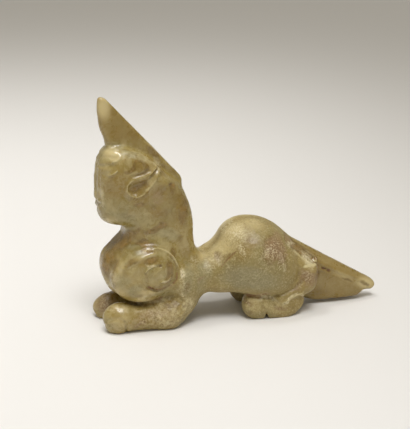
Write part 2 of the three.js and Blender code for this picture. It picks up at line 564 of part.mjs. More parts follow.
// The flat cut along the ground
const GROUND_DEPTH = 10;
const wasm = await Module();
wasm.setup();
const solid = (vertProperties, triVerts) =>
  new wasm.Manifold(new wasm.Mesh({ numProp: 3, vertProperties, triVerts }));
const slab = new THREE.BoxGeometry(2 * LENGTH, LENGTH, GROUND_DEPTH);
slab.translate(LENGTH / 2, 0, -GROUND_DEPTH / 2);
slab.deleteAttribute("normal").deleteAttribute("uv");
const merged = mergeVertices(slab);
const block = solid(new Float32Array(stone.points.flat()), new Uint32Array(stone.triangles.flat()));
const ground = solid(merged.attributes.position.array, new Uint32Array(merged.index.array));
const sawn = block.subtract(ground).getMesh();
const threes = (list) => Array.from({ length: list.length / 3 }, (_, i) => list.slice(3 * i, 3 * i + 3));
const points = threes(sawn.vertProperties).map(([x, y, z]) => [x, y, abs(z) < FLAT ? 0 : z]);
const carving = thin({ points, triangles: threes(sawn.triVerts) }, MOST_TRIANGLES);

// The finished carving, with its origin under the middle of its box
const geometry = new THREE.BufferGeometry();
geometry.setAttribute("position", new THREE.BufferAttribute(new Float32Array(carving.points.flat()), 3));
geometry.setIndex(carving.triangles.flat());
geometry.computeBoundingBox();
const { min: low, max: high } = geometry.boundingBox;
geometry.translate(-(low.x + high.x) / 2, -(low.y + high.y) / 2, -low.z);
geometry.computeVertexNormals();

const jade = new THREE.MeshStandardMaterial({ color: 0xb5a26a, roughness: 0.4, metalness: 0 });
const mesh = new THREE.Mesh(geometry, jade);
mesh.name = "jade_beast";
const group = new THREE.Group();
group.add(mesh);
export default group;
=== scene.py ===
# Jade mythical beast: the carving's fine surface, its stone, and a pale studio floor
import math

import bpy
import numpy as np
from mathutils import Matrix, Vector, noise


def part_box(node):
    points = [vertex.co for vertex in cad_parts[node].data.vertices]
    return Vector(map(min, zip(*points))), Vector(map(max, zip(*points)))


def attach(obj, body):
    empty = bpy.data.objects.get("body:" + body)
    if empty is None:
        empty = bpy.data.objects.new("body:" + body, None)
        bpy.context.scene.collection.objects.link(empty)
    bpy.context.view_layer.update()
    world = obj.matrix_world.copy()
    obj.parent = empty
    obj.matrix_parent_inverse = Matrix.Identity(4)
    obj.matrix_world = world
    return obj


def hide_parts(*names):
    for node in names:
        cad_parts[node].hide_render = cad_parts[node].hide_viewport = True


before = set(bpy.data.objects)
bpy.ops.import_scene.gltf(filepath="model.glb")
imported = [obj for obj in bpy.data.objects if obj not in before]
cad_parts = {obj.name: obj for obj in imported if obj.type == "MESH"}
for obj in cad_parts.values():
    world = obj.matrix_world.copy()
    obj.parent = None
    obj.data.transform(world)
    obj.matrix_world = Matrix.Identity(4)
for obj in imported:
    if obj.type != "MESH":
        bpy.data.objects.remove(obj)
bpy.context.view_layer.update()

LOW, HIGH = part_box("jade_beast")

# The carving's own frame, in carver's millimetres: x runs back from the front of the face, z up from the ground,
# y = 0 is the middle plane and s the distance from it. The beast's left side has y < 0.
CARVED_LENGTH = 76.296
PAW_LEAD = 0.507  # how far the right forepaw reaches in front of the face
MM = (HIGH.x - LOW.x) / CARVED_LENGTH

# Driving dimensions
LENGTH = 76.2
CREST_TIP_HEIGHT = 59.6
BROW_HEIGHT = 48.2
CHIN_HEIGHT = 26.8
FACE_HALF_WIDTH = 6.9
NAPE = (21.9, 38.5)
CHEST_HALF_WIDTH = 6.6
WAIST = dict(x=27.2, top=17.4, under=7.6, half_width=7.6)
SHOULDER = dict(at=(11.4, 5.2, 15.1), long=9.1, high=7.5, deep=5, lean=17, full=2.6)
FOREARM_Y = 6.2
FAR_PAW = dict(lead=0.6, inward=1.4, low=1.4)
ELBOW = dict(x=16.6, z=9.3, reach=9.2, radius=3.6, inward=0.9)
HAUNCH = dict(at=(42.3, 0, 15.6), long=11.6, high=9, deep=10.3, lean=-35, full=2.2)
THIGH = dict(at=(42.6, 5.9, 13.2), long=9.4, high=7.2, deep=4.4, lean=-30, full=2.6)
HIND_FOOT_Y = 6.1
HOCK = (54.2, 5.6, 12.4)
TAIL_ROOF = 2.5
SOLE_ROUND = 0.15

# Meshing: the grid is finest from the face to the back of the shoulder, where the carving is
FINE_BACK = 22
FINE_CELL, CELL, HIGH_CELL, WIDE_CELL = 0.26, 0.38, 0.275, 0.45
COARSE = 4  # fine cells along a coarse one
BAND = 1.7  # coarse cells searched on each side of the surface


# A smooth line through (place, value) keys, level beyond its ends; gives the value and the slope at t
def line(*keys):
    place, value = np.array(keys, float).T
    slope = np.empty(len(keys))
    slope[1:-1] = (value[2:] - value[:-2]) / (place[2:] - place[:-2])
    slope[0], slope[-1] = [(value[i + 1] - value[i]) / (place[i + 1] - place[i]) for i in (0, -2)]

    def at(t):
        i = np.clip(np.searchsorted(place, t) - 1, 0, len(keys) - 2)
        span = place[i + 1] - place[i]
        u = np.clip((t - place[i]) / span, 0, 1)
        a, b, rise = slope[i] * span, slope[i + 1] * span, value[i + 1] - value[i]
        level = value[i] + u * (a + u * (3 * rise - 2 * a - b + u * (a + b - 2 * rise)))
        steep = (a + u * (2 * (3 * rise - 2 * a - b) + u * 3 * (a + b - 2 * rise))) / span
        return level, np.where((t < place[0]) | (t > place[-1]), 0, steep)

    return at


# How far v lies above a line at t, measured square to it
def above(edge, t, v):
    value, slope = edge(t)
    return (v - value) / np.hypot(1, slope)


def length3(x, y, z):
    return np.sqrt(x * x + y * y + z * z)


# Union with a fillet of radius r, and common part with its edge rounded to radius r
def join(a, b, r):
    return np.maximum(r, np.minimum(a, b)) - np.hypot(np.maximum(r - a, 0), np.maximum(r - b, 0))


def meet(a, b, r):
    return np.minimum(-r, np.maximum(a, b)) + np.hypot(np.maximum(r + a, 0), np.maximum(r + b, 0))


# Ellipsoid with radii (rx, ry, rz)
def egg(x, y, z, rx, ry, rz):
    k0 = length3(x / rx, y / ry, z / rz)
    k1 = length3(x / rx**2, y / ry**2, z / rz**2)
    return k0 * (k0 - 1) / np.maximum(k1, 1e-9)


# Pebble: an ellipse in the XZ plane, turned by its lean and rounded to its faces; full above 2 fills it out
def pebble(x, y, z, at, long, high, deep, full, lean=0):
    x, y, z = x - at[0], y - at[1], z - at[2]
    c, s = math.cos(math.radians(lean)), math.sin(math.radians(lean))
    u, w = x * c + z * s, z * c - x * s
    size = (np.hypot(u / long, w / high) ** full + np.abs(y / deep) ** full) ** (1 / full)
    return np.where(size < 0.05, -min(long, high, deep), length3(x, y, z) * (1 - 1 / np.maximum(size, 0.05)))


# A rod from a to b, (x, y, z, radius) each, whose radius changes evenly
def rod(x, y, z, a, b):
    dx, dy, dz = b[0] - a[0], b[1] - a[1], b[2] - a[2]
    t = np.clip(((x - a[0]) * dx + (y - a[1]) * dy + (z - a[2]) * dz) / (dx * dx + dy * dy + dz * dz), 0, 1)
    return length3(x - a[0] - t * dx, y - a[1] - t * dy, z - a[2] - t * dz) - (a[3] + t * (b[3] - a[3]))


# Neck and chest
breast = line((3, 7.6), (7, 5), (10, 2.8), (13, 1.4), (16, 0.9), (19, 1.7), (21.6, 4.2), (24.2, 6.7), (28, 7), (34, 6.4))
nape = line((4, 23), (10, 26.4), (14, 27.2), (18, 26.6), (20, 25.2), (23, 24.7), (27, 24.6), (31, 23.9), (35, 22.5),
            (38, 21.2), (40, 20.4))
neck_width = line((4, 5.6), (10, 5.6), (16, 5.8), (21, 6.4), (24, CHEST_HALF_WIDTH), (30, 6.5), (38, 5.6))


def trunk(x, s, z):
    side = s - neck_width(z)[0]
    front = meet(-above(breast, z, x), side, 5)
    slab = meet(front, meet(above(nape, z, x), side, 4), 0.5)
    return meet(meet(slab, 7.2 - z, 3), z - 39.5, 3)


# Head
face = line((25.6, 6), (26.6, 4), (27.8, 2), (29.6, 0.8), (33, 0.45), (38, 0.4), (42, 0.6), (44.5, 1.2), (46.8, 2.3),
            (48.8, 4.2))
crown = line((0, 48), (4.9, BROW_HEIGHT), (8.1, 47.1), (11.1, 45.9), (13.6, 44.1), (16, 41.8), (19, 39.2), (24, 36))
jaw = line((2, CHIN_HEIGHT - 0.2), (5, CHIN_HEIGHT - 0.5), (9, 26.6), (14, 28), (20, 31))
cheek = line((27, 5.2), (31, 6.4), (37, FACE_HALF_WIDTH), (42, 6.6), (46, 5.6), (48.5, 4.4))


def head(x, s, z):
    side = s - cheek(z)[0] + 0.06 * np.maximum(x - 10, 0)
    profile = meet(-above(face, z, x), side, 5.2)
    top = meet(profile, above(crown, x, z), 2.8)
    return meet(meet(top, -above(jaw, x, z), 2.2), x - 20.5, 3)


# Crest
crest_front = line((40, 4), (46, 3), (49, 2.5), (51.8, 1.6), (54, 1.3), (56.5, 1.1), (CREST_TIP_HEIGHT, 1.3))
CREST_BACK_TIP = (3.3, 59.2)


def crest(x, s, z):
    fall = (CREST_BACK_TIP[1] - NAPE[1]) / (NAPE[0] - CREST_BACK_TIP[0])
    behind = (z - CREST_BACK_TIP[1] + fall * (x - CREST_BACK_TIP[0])) / math.hypot(1, fall)
    half_width = 1.1 + 0.085 * (CREST_TIP_HEIGHT - z)
    blade = meet(-above(crest_front, z, x), s - half_width, 0.9 * half_width)
    cut = meet(meet(blade, behind, 0.7), x - NAPE[0], 0.6)
    return meet(meet(cut, 36 - z, 1), z - CREST_TIP_HEIGHT, 0.7)


# Foreleg; far is 1 for the right one
def foreleg(x, s, z, far):
    bent = np.clip((12 - x) / 8, 0, 1) * far
    u, v = x + FAR_PAW["lead"] * bent, s - FOREARM_Y + FAR_PAW["inward"] * bent
    low = FAR_PAW["low"] * bent
    paw = egg(u - 4.2, v, z - 3.9 + low, 4.1, 3, 3.5 - 0.3 * low)
    pad = egg(u - 3.4, v + 0.2, z - 1.7 + 0.3 * low, 2.7, 2.6, 2.1)
    arm = rod(u, v, z, (5.4, 0, 3.5 - 0.7 * low, 3.3), (17, 0.6, 3.1, 3.2))
    turn = np.clip(np.arctan2(z - ELBOW["z"], x - ELBOW["x"]), -math.pi / 2, math.radians(35))
    bend = ELBOW["reach"] - ELBOW["radius"]
    at_x, at_z = ELBOW["x"] + bend * np.cos(turn), ELBOW["z"] + bend * np.sin(turn)
    elbow = length3(x - at_x, v + ELBOW["inward"], z - at_z) - ELBOW["radius"]
    web = pebble(x, s, z, (16.5, 0, 8), 8, 5.5, 6, 2.4)
    hand = join(join(paw, pad, 0.3), arm, 2)
    crease = 0.22 * band(u, z + 0.5 * low, 0.6, (0.9, 3.4), (2.1, 4.4), (3.6, 4.6), (4.9, 3.9))
    crease += 0.5 * band(u, z, 0.6, (5, 3.8), (5.4, 2.6), (5.8, 0.6))
    hand = hand + crease * np.clip(v / 1.2, 0, 1)
    return join(join(hand, elbow, 2.6), web, 1.5)


# Waist and belly
spine = line((20, 16.4), (24, 16.7), (WAIST["x"], WAIST["top"] - 0.5), (30, 18.2), (34, 18.8), (40, 18), (50, 15), (56, 12))
belly = line((18, 9), (24, 8.8), (WAIST["x"] + 3, WAIST["under"]), (35, 7.3), (41, 6.4), (48, 6.4), (54, 8))
flank = line((20, 8), (WAIST["x"], WAIST["half_width"]), (32, 7.8), (40, 8), (46, 6.6), (51, 5), (56, 3.8))


def body(x, s, z):
    upper = meet(above(spine, x, z), s - flank(x)[0], 5)
    return meet(meet(upper, -above(belly, x, z), 2.6), np.maximum(18 - x, x - 54), 2)


def haunch(x, s, z):
    return join(pebble(x, s, z, **HAUNCH), pebble(x, s, z, **THIGH), 3)


# Lower hind leg: a hock with one flat facet, a shank, and a foot whose sole is notched behind the toes
def hind_leg(x, s, z):
    hx, hy, hz = HOCK
    knob = rod(x, s, z, (49, hy - 1, hz + 3.8, 2.8), (hx, hy, hz - 0.9, 3.2))
    axis = hz - 0.9 + 0.6 * (hx - x)
    knob = meet(knob, (s - hy + z - axis) * math.sqrt(0.5) - 2.8, 0.35)
    shank = rod(x, s, z, (hx - 0.2, HIND_FOOT_Y - 0.1, 8.6, 3.2), (47, HIND_FOOT_Y + 0.6, 5.2, 2.6))
    heel = pebble(x, s, z, (48.4, HIND_FOOT_Y, 2.6), 5.5, 3.3, 3.1, 2.6, 20)
    toes = pebble(x, s, z, (40.7, HIND_FOOT_Y, 3.6), 3.9, 4, 3, 2.5)
    foot = join(heel, toes, 3.2)
    notch = stroke(x, z, (43, -0.1, 0.8), (42.8, 0.9, 0.25))
    return join(join(knob, shank, 1.2), meet(foot, -notch, 0.25), 0.5)


# Tail
ridge = line((44, 24.2), (48, 21.6), (51.6, 19.2), (55.3, 16.9), (60.1, 14), (65.8, 10.6), (71.7, 7.1), (74.6, 5.3),
             (76.3, 3.9))
keel = line((46, 9), (50, 5.5), (54, 2.6), (58, 1.1), (62, 0.9), (67, 0.8), (70.4, 1), (71.5, 1.5), (72.6, 2.3),
            (74.8, 2.2), (76.3, 2.8))
tail_width = line((46, 4.6), (52, 3.9), (57, 3.8), (60, 3.7), (68, 2.8), (74, 1.7), (76.3, 1.1))


def tail(x, s, z):
    half_width = tail_width(x)[0]
    top, slope = ridge(x)
    lean = TAIL_ROOF / half_width
    roof = (z - top + lean * np.maximum(s - 0.7, 0)) / length3(1, slope, lean)
    side = s - half_width + 0.16 * np.maximum(top - TAIL_ROOF - 2 - z, 0)
    keeled = meet(meet(roof, side, 0.4), -above(keel, x, z), 1.2)
    return meet(meet(keeled, x - LENGTH, 1), 45 - x, 1)


# How strongly a mark of half-width w shows at distance d from its middle
def mark(d, w):
    return np.clip(1 - (d / w) ** 2, 0, 1) ** 2


# Distance in the XZ plane to a stroke through (x, z, half-width) points; negative inside the stroke
def stroke(x, z, *points):
    ends = [(p[0], 0, p[1], p[2] if len(p) > 2 else 0) for p in points]
    return np.minimum.reduce([rod(x, 0, z, a, b) for a, b in zip(ends, ends[1:])])


# A band of strength 1 along a stroke, and a round one at a place, fading to 0 at half-width w
def band(x, z, w, *points):
    return mark(np.maximum(stroke(x, z, *points), 0), w)


def dot(x, z, at_x, at_z, long, high):
    return mark(np.hypot((x - at_x) / long, (z - at_z) / high), 1)


# Carving on the sides of the head: above 0 stands proud, below 0 is cut in
def head_carving(x, s, z):
    hollow = stroke(x, z, (8.8, 37.4, 1.6), (12, 38.9, 0.8), (14.9, 42, 0.15))
    ear = 0.2 * band(x, z, 0.6, (6.9, 37.2), (7, 38.6), (8, 39.6), (10, 40.2), (11.5, 40.4), (13.3, 41.3), (14.8, 42.5))
    ear = np.maximum(ear, 0.28 * band(x, z, 0.5, (6.9, 37.2), (7.8, 35.8), (9.4, 35.2), (10.9, 35.7), (12.2, 36.8)))
    ear = np.maximum(ear, 0.28 * band(x, z, 0.6, (12.2, 36.8), (13.6, 38.4), (14.8, 40.2), (15.6, 41.6)))
    ear -= 0.6 * np.clip((0.1 - hollow) / 0.7, 0, 1)
    ear -= 0.25 * band(x, z, 0.6, (8.3, 40.7), (11, 41.3), (12.6, 41.9))
    ear -= 0.22 * band(x, z, 0.7, (5.7, 38.4), (5.8, 36.2), (7.2, 34.6))
    ear += 0.3 * dot(x, z, 16.6, 38.3, 2.4, 2) - 0.5 * dot(x, z, 18.2, 37.6, 0.9, 0.7)
    brow = 0.36 * dot(x, z, 4.3, 46.5, 2.6, 1.2)
    brow -= 0.16 * band(x, z, 0.5, (0.8, 44.8), (2.8, 45.3), (4.6, 45.4))
    lids = 0.16 * band(x, z, 0.45, (0.6, 43.4), (2.2, 44.3), (3.7, 44.5))
    lids += 0.3 * band(x, z, 0.42, (3.9, 44.5), (5, 44.9), (5.7, 45.8))
    lids += 0.3 * band(x, z, 0.42, (2.6, 41.2), (3.6, 41.7), (4.7, 42.5))
    lids -= 0.2 * band(x, z, 0.45, (0.8, 42.9), (2.4, 43.3), (4.2, 43.6))
    lids += 0.2 * dot(x, z, 2.6, 42.4, 1.5, 0.9) - 0.1 * band(x, z, 0.5, (1.4, 41.2), (3.4, 40.7))
    foot = 0.22 * band(x, z, 1.2, (5.8, 47.1), (8, 46.6), (10.8, 45.4), (13.2, 43.9), (14.8, 42.4))
    return ear + np.clip((x - 0.4) / 1.2, 0, 1) * (brow + lids) + foot


# Carving on the front of the face: the nose ridge with its wings, the mouth and the chin
def face_carving(s, z):
    ends = np.clip(np.minimum((z - 34.6) / 1.5, (43 - z) / 3), 0, 1)
    nose = mark(s, 1.5) * ends + mark(np.hypot(s - 0.7, 0.9 * (z - 34.6)), 1.6)
    nose -= 0.5 * mark(s - 3.1, 0.7) * np.clip(np.minimum((z - 35) / 1.5, (42.5 - z) / 1.5), 0, 1)
    lips = 0.6 * mark(z - 33 - 0.05 * s * s, 0.65) * np.clip(4 - s, 0, 1) + 0.6 * mark(z - 30.9, 0.7) * mark(s, 3.4)
    lips -= 0.5 * dot(s, z, 2.6, 34.2, 0.9, 0.7) + 0.4 * dot(s, z, 2.4, 31.9, 1, 0.7)
    return 0.5 * (nose - lips)


# Carving on the shoulder. Turns are in degrees, clockwise from straight up: the groove starts above the boss,
# runs round behind it, closes in below it and winds up round its front.
BOSS = (13.1, 16.1)
groove_radius = line((45, 5.2), (78, 5.7), (101, 6), (150, 5.4), (186, 4.6), (221, 3.7), (260, 2.9), (295, 2.3),
                     (340, 1.9), (400, 1.9))
groove_depth = line((50, 0), (80, 0.3), (101, 0.7), (125, 0.55), (150, 0.35), (186, 0.75), (215, 0.4), (260, 0.2),
                    (300, 0.12), (340, 0.15), (380, 0.2), (405, 0))
groove_width = line((45, 0.8), (80, 0.9), (110, 0.65), (186, 0.6), (221, 0.75), (400, 0.7))
rim_radius = line((-30, 6.9), (-6, 6.35), (18, 6.05), (48, 5.95), (72, 6.2), (95, 6.6))


def round_boss(x, z):
    return np.hypot(x - BOSS[0], z - BOSS[1]), np.degrees(np.arctan2(x - BOSS[0], z - BOSS[1])) % 360


def shoulder_carving(x, z):
    r, turn = round_boss(x, z)
    cut = np.zeros_like(r)
    for t in (turn, turn + 360):
        within = (t >= 40) & (t <= 405)
        depth = groove_depth(t)[0] * mark(r - groove_radius(t)[0], groove_width(t)[0])
        cut = np.maximum(cut, np.where(within, depth, 0))
    behind = np.where(turn > 180, turn - 360, turn)
    shown = np.clip(np.minimum(behind + 22, 105 - behind) / 20, 0, 1)
    rim = 0.3 * mark(r - rim_radius(behind)[0], 0.42) * shown
    slope = 0.3 * mark(r - 4.6, 1.6) * np.clip(np.minimum(behind - 35, 135 - behind) / 25, 0, 1)
    ridge = 0.4 * band(x, z, 1, (5.2, 17.9), (7.4, 19.2), (9.5, 20.2), (11.3, 20.9), (13.2, 21.3))
    crumbs = 0.4 * band(x, z, 0.5, (10.6, 16.7), (11.1, 17.5), (12.2, 18), (13.2, 18.3))
    crumbs += 0.35 * band(x, z, 0.5, (14.5, 13.6), (15.4, 13.9), (16.1, 13.8), (17.3, 14.5))
    boss = 0.45 * mark(r, 2.3) - 0.5 * dot(x, z, 14.4, 17.9, 0.5, 0.5)
    outside = 0.35 * dot(x, z, 20.1, 14.4, 0.9, 1.9) + 0.3 * dot(x, z, 20.2, 8.8, 0.9, 1)
    return boss + rim + ridge + crumbs + outside - cut - slope


# Carving on the outer side of the hind leg: the groove between thigh and foot, the rim of the foot, and creases
def leg_carving(x, s, z):
    cut = 0.6 * band(x, z, 0.75, (36.6, 7), (39, 6.8), (41.5, 6.3), (43.6, 6.1), (45.8, 6.3))
    cut += 0.35 * band(x, z, 0.55, (45.5, 6.3), (47.6, 6.8), (50.3, 8), (52.3, 9.5))
    cut += 0.35 * band(x, z, 0.4, (42.8, 1.2), (42.4, 2.6), (41.6, 3.8))
    cut += 0.5 * dot(x, z, 43.2, 6.4, 0.7, 0.5)
    rim = 0.3 * band(x, z, 0.7, (46.8, 4.2), (49, 5.1), (51.2, 6.3), (52.5, 6.1), (52.9, 4.8))
    cut += 0.3 * dot(x, z, 50, 3.2, 2.2, 1.6) + 0.3 * dot(x, z, 56.3, 9.3, 0.8, 1.4)
    return (rim - cut) * np.clip((s - HIND_FOOT_Y) / 1.2, 0, 1)


# Carving behind the thigh: a raised edge down to the hock, the hollow at the root of the tail, and two nicks
def tail_carving(x, s, z):
    cut = 0.7 * band(x, z, 0.95, (49.2, 20.2), (52.5, 17.2), (54.6, 15.3), (57, 13.4))
    cut += 0.4 * band(x, z, 0.32, (59.5, 10.8), (60.3, 10.5)) + 0.35 * band(x, z, 0.32, (61.1, 10), (61.7, 9.6))
    cut += 0.3 * dot(x, z, 58.4, 9.2, 0.6, 0.8)
    cut += 0.12 * band(x, z, 0.5, (62.5, 9), (65.7, 7.6), (69.8, 6))
    return -cut * np.clip((s - 1) / 1.2, 0, 1)


# Scratches and worn hollows on the haunch
def haunch_carving(x, s, z):
    cut = 0.16 * band(x, z, 0.28, (31.5, 15.9), (32.6, 17.2), (34, 18.7))
    cut += 0.12 * band(x, z, 0.25, (30.9, 15.9), (32, 17.1), (33.1, 18.4))
    cut += 0.1 * band(x, z, 0.3, (36.2, 22.6), (34.3, 20.6), (33, 19.8))
    return -cut * np.clip((s - 3) / 2, 0, 1)


# Works out a carving only at the places given, and 0 elsewhere
def only(places, carving, *where):
    depth = np.zeros(places.shape)
    depth[places] = carving(*[values[places] for values in where])
    return depth


# The whole figure
def beast(x, y, z):
    s = np.abs(y)
    d = join(trunk(x, s, z), head(x, s, z), 1.4)
    d = join(d, crest(x, s, z), 0.5)
    d = d - only((z > 30) & (x < 20) & (s > 0.5), head_carving, x, s, z) * np.clip((s - 0.5) / 2, 0, 1)
    d = d - only((z > 28) & (x < 5), face_carving, s, z)
    d = join(d, body(x, s, z), 1.6)
    d = join(d, haunch(x, s, z), 2.6) - only((x > 28) & (x < 40) & (s > 3), haunch_carving, x, s, z)
    d = join(d, tail(x, s, z) - only((x > 46) & (s > 1), tail_carving, x, s, z), 0.7)
    d = join(d, hind_leg(x, s, z), 0.6)
    d = d - only((x > 34) & (x < 60) & (s > HIND_FOOT_Y) & (z < 14), leg_carving, x, s, z)
    behind = np.clip((x - 9) / 6, 0, 1)
    d = join(d, foreleg(x, s, z, (y > 0).astype(float)), 1.2 + 1.8 * behind)
    d = join(d, pebble(x, s, z, **SHOULDER), 0.5 + 2.2 * behind)
    d = d - only((x < 24) & (s > 5.5) & (z < 26), shoulder_carving, x, z) * np.clip((s - 5.5) / 1.5, 0, 1)
    return meet(d, -z, SOLE_ROUND)


# The surface field = 0 as squares: one corner in each cell that the surface crosses, and one square round each
# grid edge that it crosses. Only cells near the surface are looked at closely. lines are the grid's places along
# x, y and z, each one more than a multiple of COARSE.
def skin(field, lines):
    count = np.array([len(places) for places in lines])
    rough = field(*np.meshgrid(*[places[::COARSE] for places in lines], indexing="ij"))
    block = COARSE * max(np.diff(places).max() for places in lines)
    value = np.ones(count)
    near = np.zeros(count, bool)
    for i in np.ndindex(*(count // COARSE)):
        corners = rough[i[0]:i[0] + 2, i[1]:i[1] + 2, i[2]:i[2] + 2]
        part = tuple(slice(COARSE * n, COARSE * (n + 1) + 1) for n in i)
        if np.abs(corners).min() < BAND * block:
            near[part] = True
        elif corners[0, 0, 0] < 0:
            value[part] = -1
    at = np.argwhere(near)
    place = np.stack([lines[i][at[:, i]] for i in range(3)], 1)
    value[near] = np.concatenate([field(*part.T) for part in np.array_split(place, 1 + len(place) // 200000)])
    inside = value < 0
    cube = [(i, j, k) for i in (0, 1) for j in (0, 1) for k in (0, 1)]
    cells = count - 1
    window = lambda a, o: a[o[0]:o[0] + cells[0], o[1]:o[1] + cells[1], o[2]:o[2] + cells[2]]
    full = sum(window(inside, o).astype(np.int8) for o in cube)
    crossed = np.argwhere((full > 0) & (full < 8))
    total, hits = np.zeros((len(crossed), 3)), np.zeros(len(crossed))
    step = np.eye(3, dtype=int)
    for o in cube:
        for axis in range(3):
            if o[axis]:
                continue
            a = value[tuple((crossed + o).T)]
            b = value[tuple((crossed + o + step[axis]).T)]
            cut = (a < 0) != (b < 0)
            t = np.where(cut, a / np.where(cut, a - b, 1), 0)
            total += np.where(cut[:, None], np.array(o) + t[:, None] * step[axis], 0)
            hits += cut
    share = total / hits[:, None]
    start = np.stack([lines[i][crossed[:, i]] for i in range(3)], 1)
    stop = np.stack([lines[i][crossed[:, i] + 1] for i in range(3)], 1)
    corners = start + share * (stop - start)
    name = np.full(cells, -1)
    name[tuple(crossed.T)] = np.arange(len(crossed))
    squares = []
    for axis in range(3):
        a = inside[:-1, :-1, :-1]
        b = window(inside, step[axis])
        edge = np.argwhere(a != b)
        u, v = step[(axis + 1) % 3], step[(axis + 2) % 3]
        edge = edge[((edge - u - v) >= 0).all(1)]
        ring = np.stack([name[tuple((edge - w).T)] for w in (u + v, v, 0 * u, u)], 1)
        out = inside[tuple(edge.T)]
        squares.append(np.where(out[:, None], ring, ring[:, ::-1]))
    return corners, np.concatenate(squares)


# Moves points straight onto the surface; gives them and the directions in which they face
def settle(field, points, rounds, feel=0.02):
    for _ in range(rounds + 1):
        d = field(*points.T)
        slope = np.stack([field(*(points + feel * step).T) - d for step in np.eye(3)], 1) / feel
        steep = np.maximum((slope**2).sum(1), 0.25)
        moved = points - np.clip((d / steep)[:, None] * slope, -CELL / 2, CELL / 2)
        facing = slope / np.sqrt(steep)[:, None]
        if _ < rounds:
            points = moved
    return points, facing


# Draws each corner towards the middle of its neighbours, so that the squares grow even
def even(points, squares, share=0.6):
    total, count = np.zeros_like(points), np.zeros(len(points))
    for i in range(4):
        for n in (1, 3):
            np.add.at(total, squares[:, i], points[squares[:, (i + n) % 4]])
            np.add.at(count, squares[:, i], 1)
    return points + share * (total / count[:, None] - points)


# Grid places from one end to past the other, with the steps given as (up to, step) stretches
def grid(start, *stretches):
    places = [start]
    for stop, step in stretches:
        while places[-1] < stop:
            places.append(places[-1] + step)
    while len(places) % COARSE != 1:
        places.append(places[-1] + stretches[-1][1])
    return np.array(places)


corners, squares = skin(beast, [
    grid(-1.6, (FINE_BACK, FINE_CELL), (LENGTH + 1.6, CELL)),
    grid(-12, (12, WIDE_CELL)),
    grid(-1.1, (CREST_TIP_HEIGHT + 1.4, HIGH_CELL)),
])
for _ in range(2):
    corners, facing = settle(beast, even(corners, squares), 2)


# Random waves of about the given length in millimetres, -1 to 1, with finer ones added
def waves(points, length, depth, seed):
    moved = points / length + 17.3 * seed
    return np.array([noise.fractal(Vector(p), 1, 2, depth) for p in moved.tolist()])


# Strength 0 to 1 of a group of soft spots, (x, z, half-length, half-height, lean, strength) each
def spots(x, z, *each):
    total = np.zeros_like(x)
    for at_x, at_z, long, high, lean, strength in each:
        c, s = math.cos(math.radians(lean)), math.sin(math.radians(lean))
        u, w = ((x - at_x) * c + (z - at_z) * s) / long, ((z - at_z) * c - (x - at_x) * s) / high
        total = np.maximum(total, strength * np.exp(-1.4 * (u * u + w * w) ** 1.5))
    return total


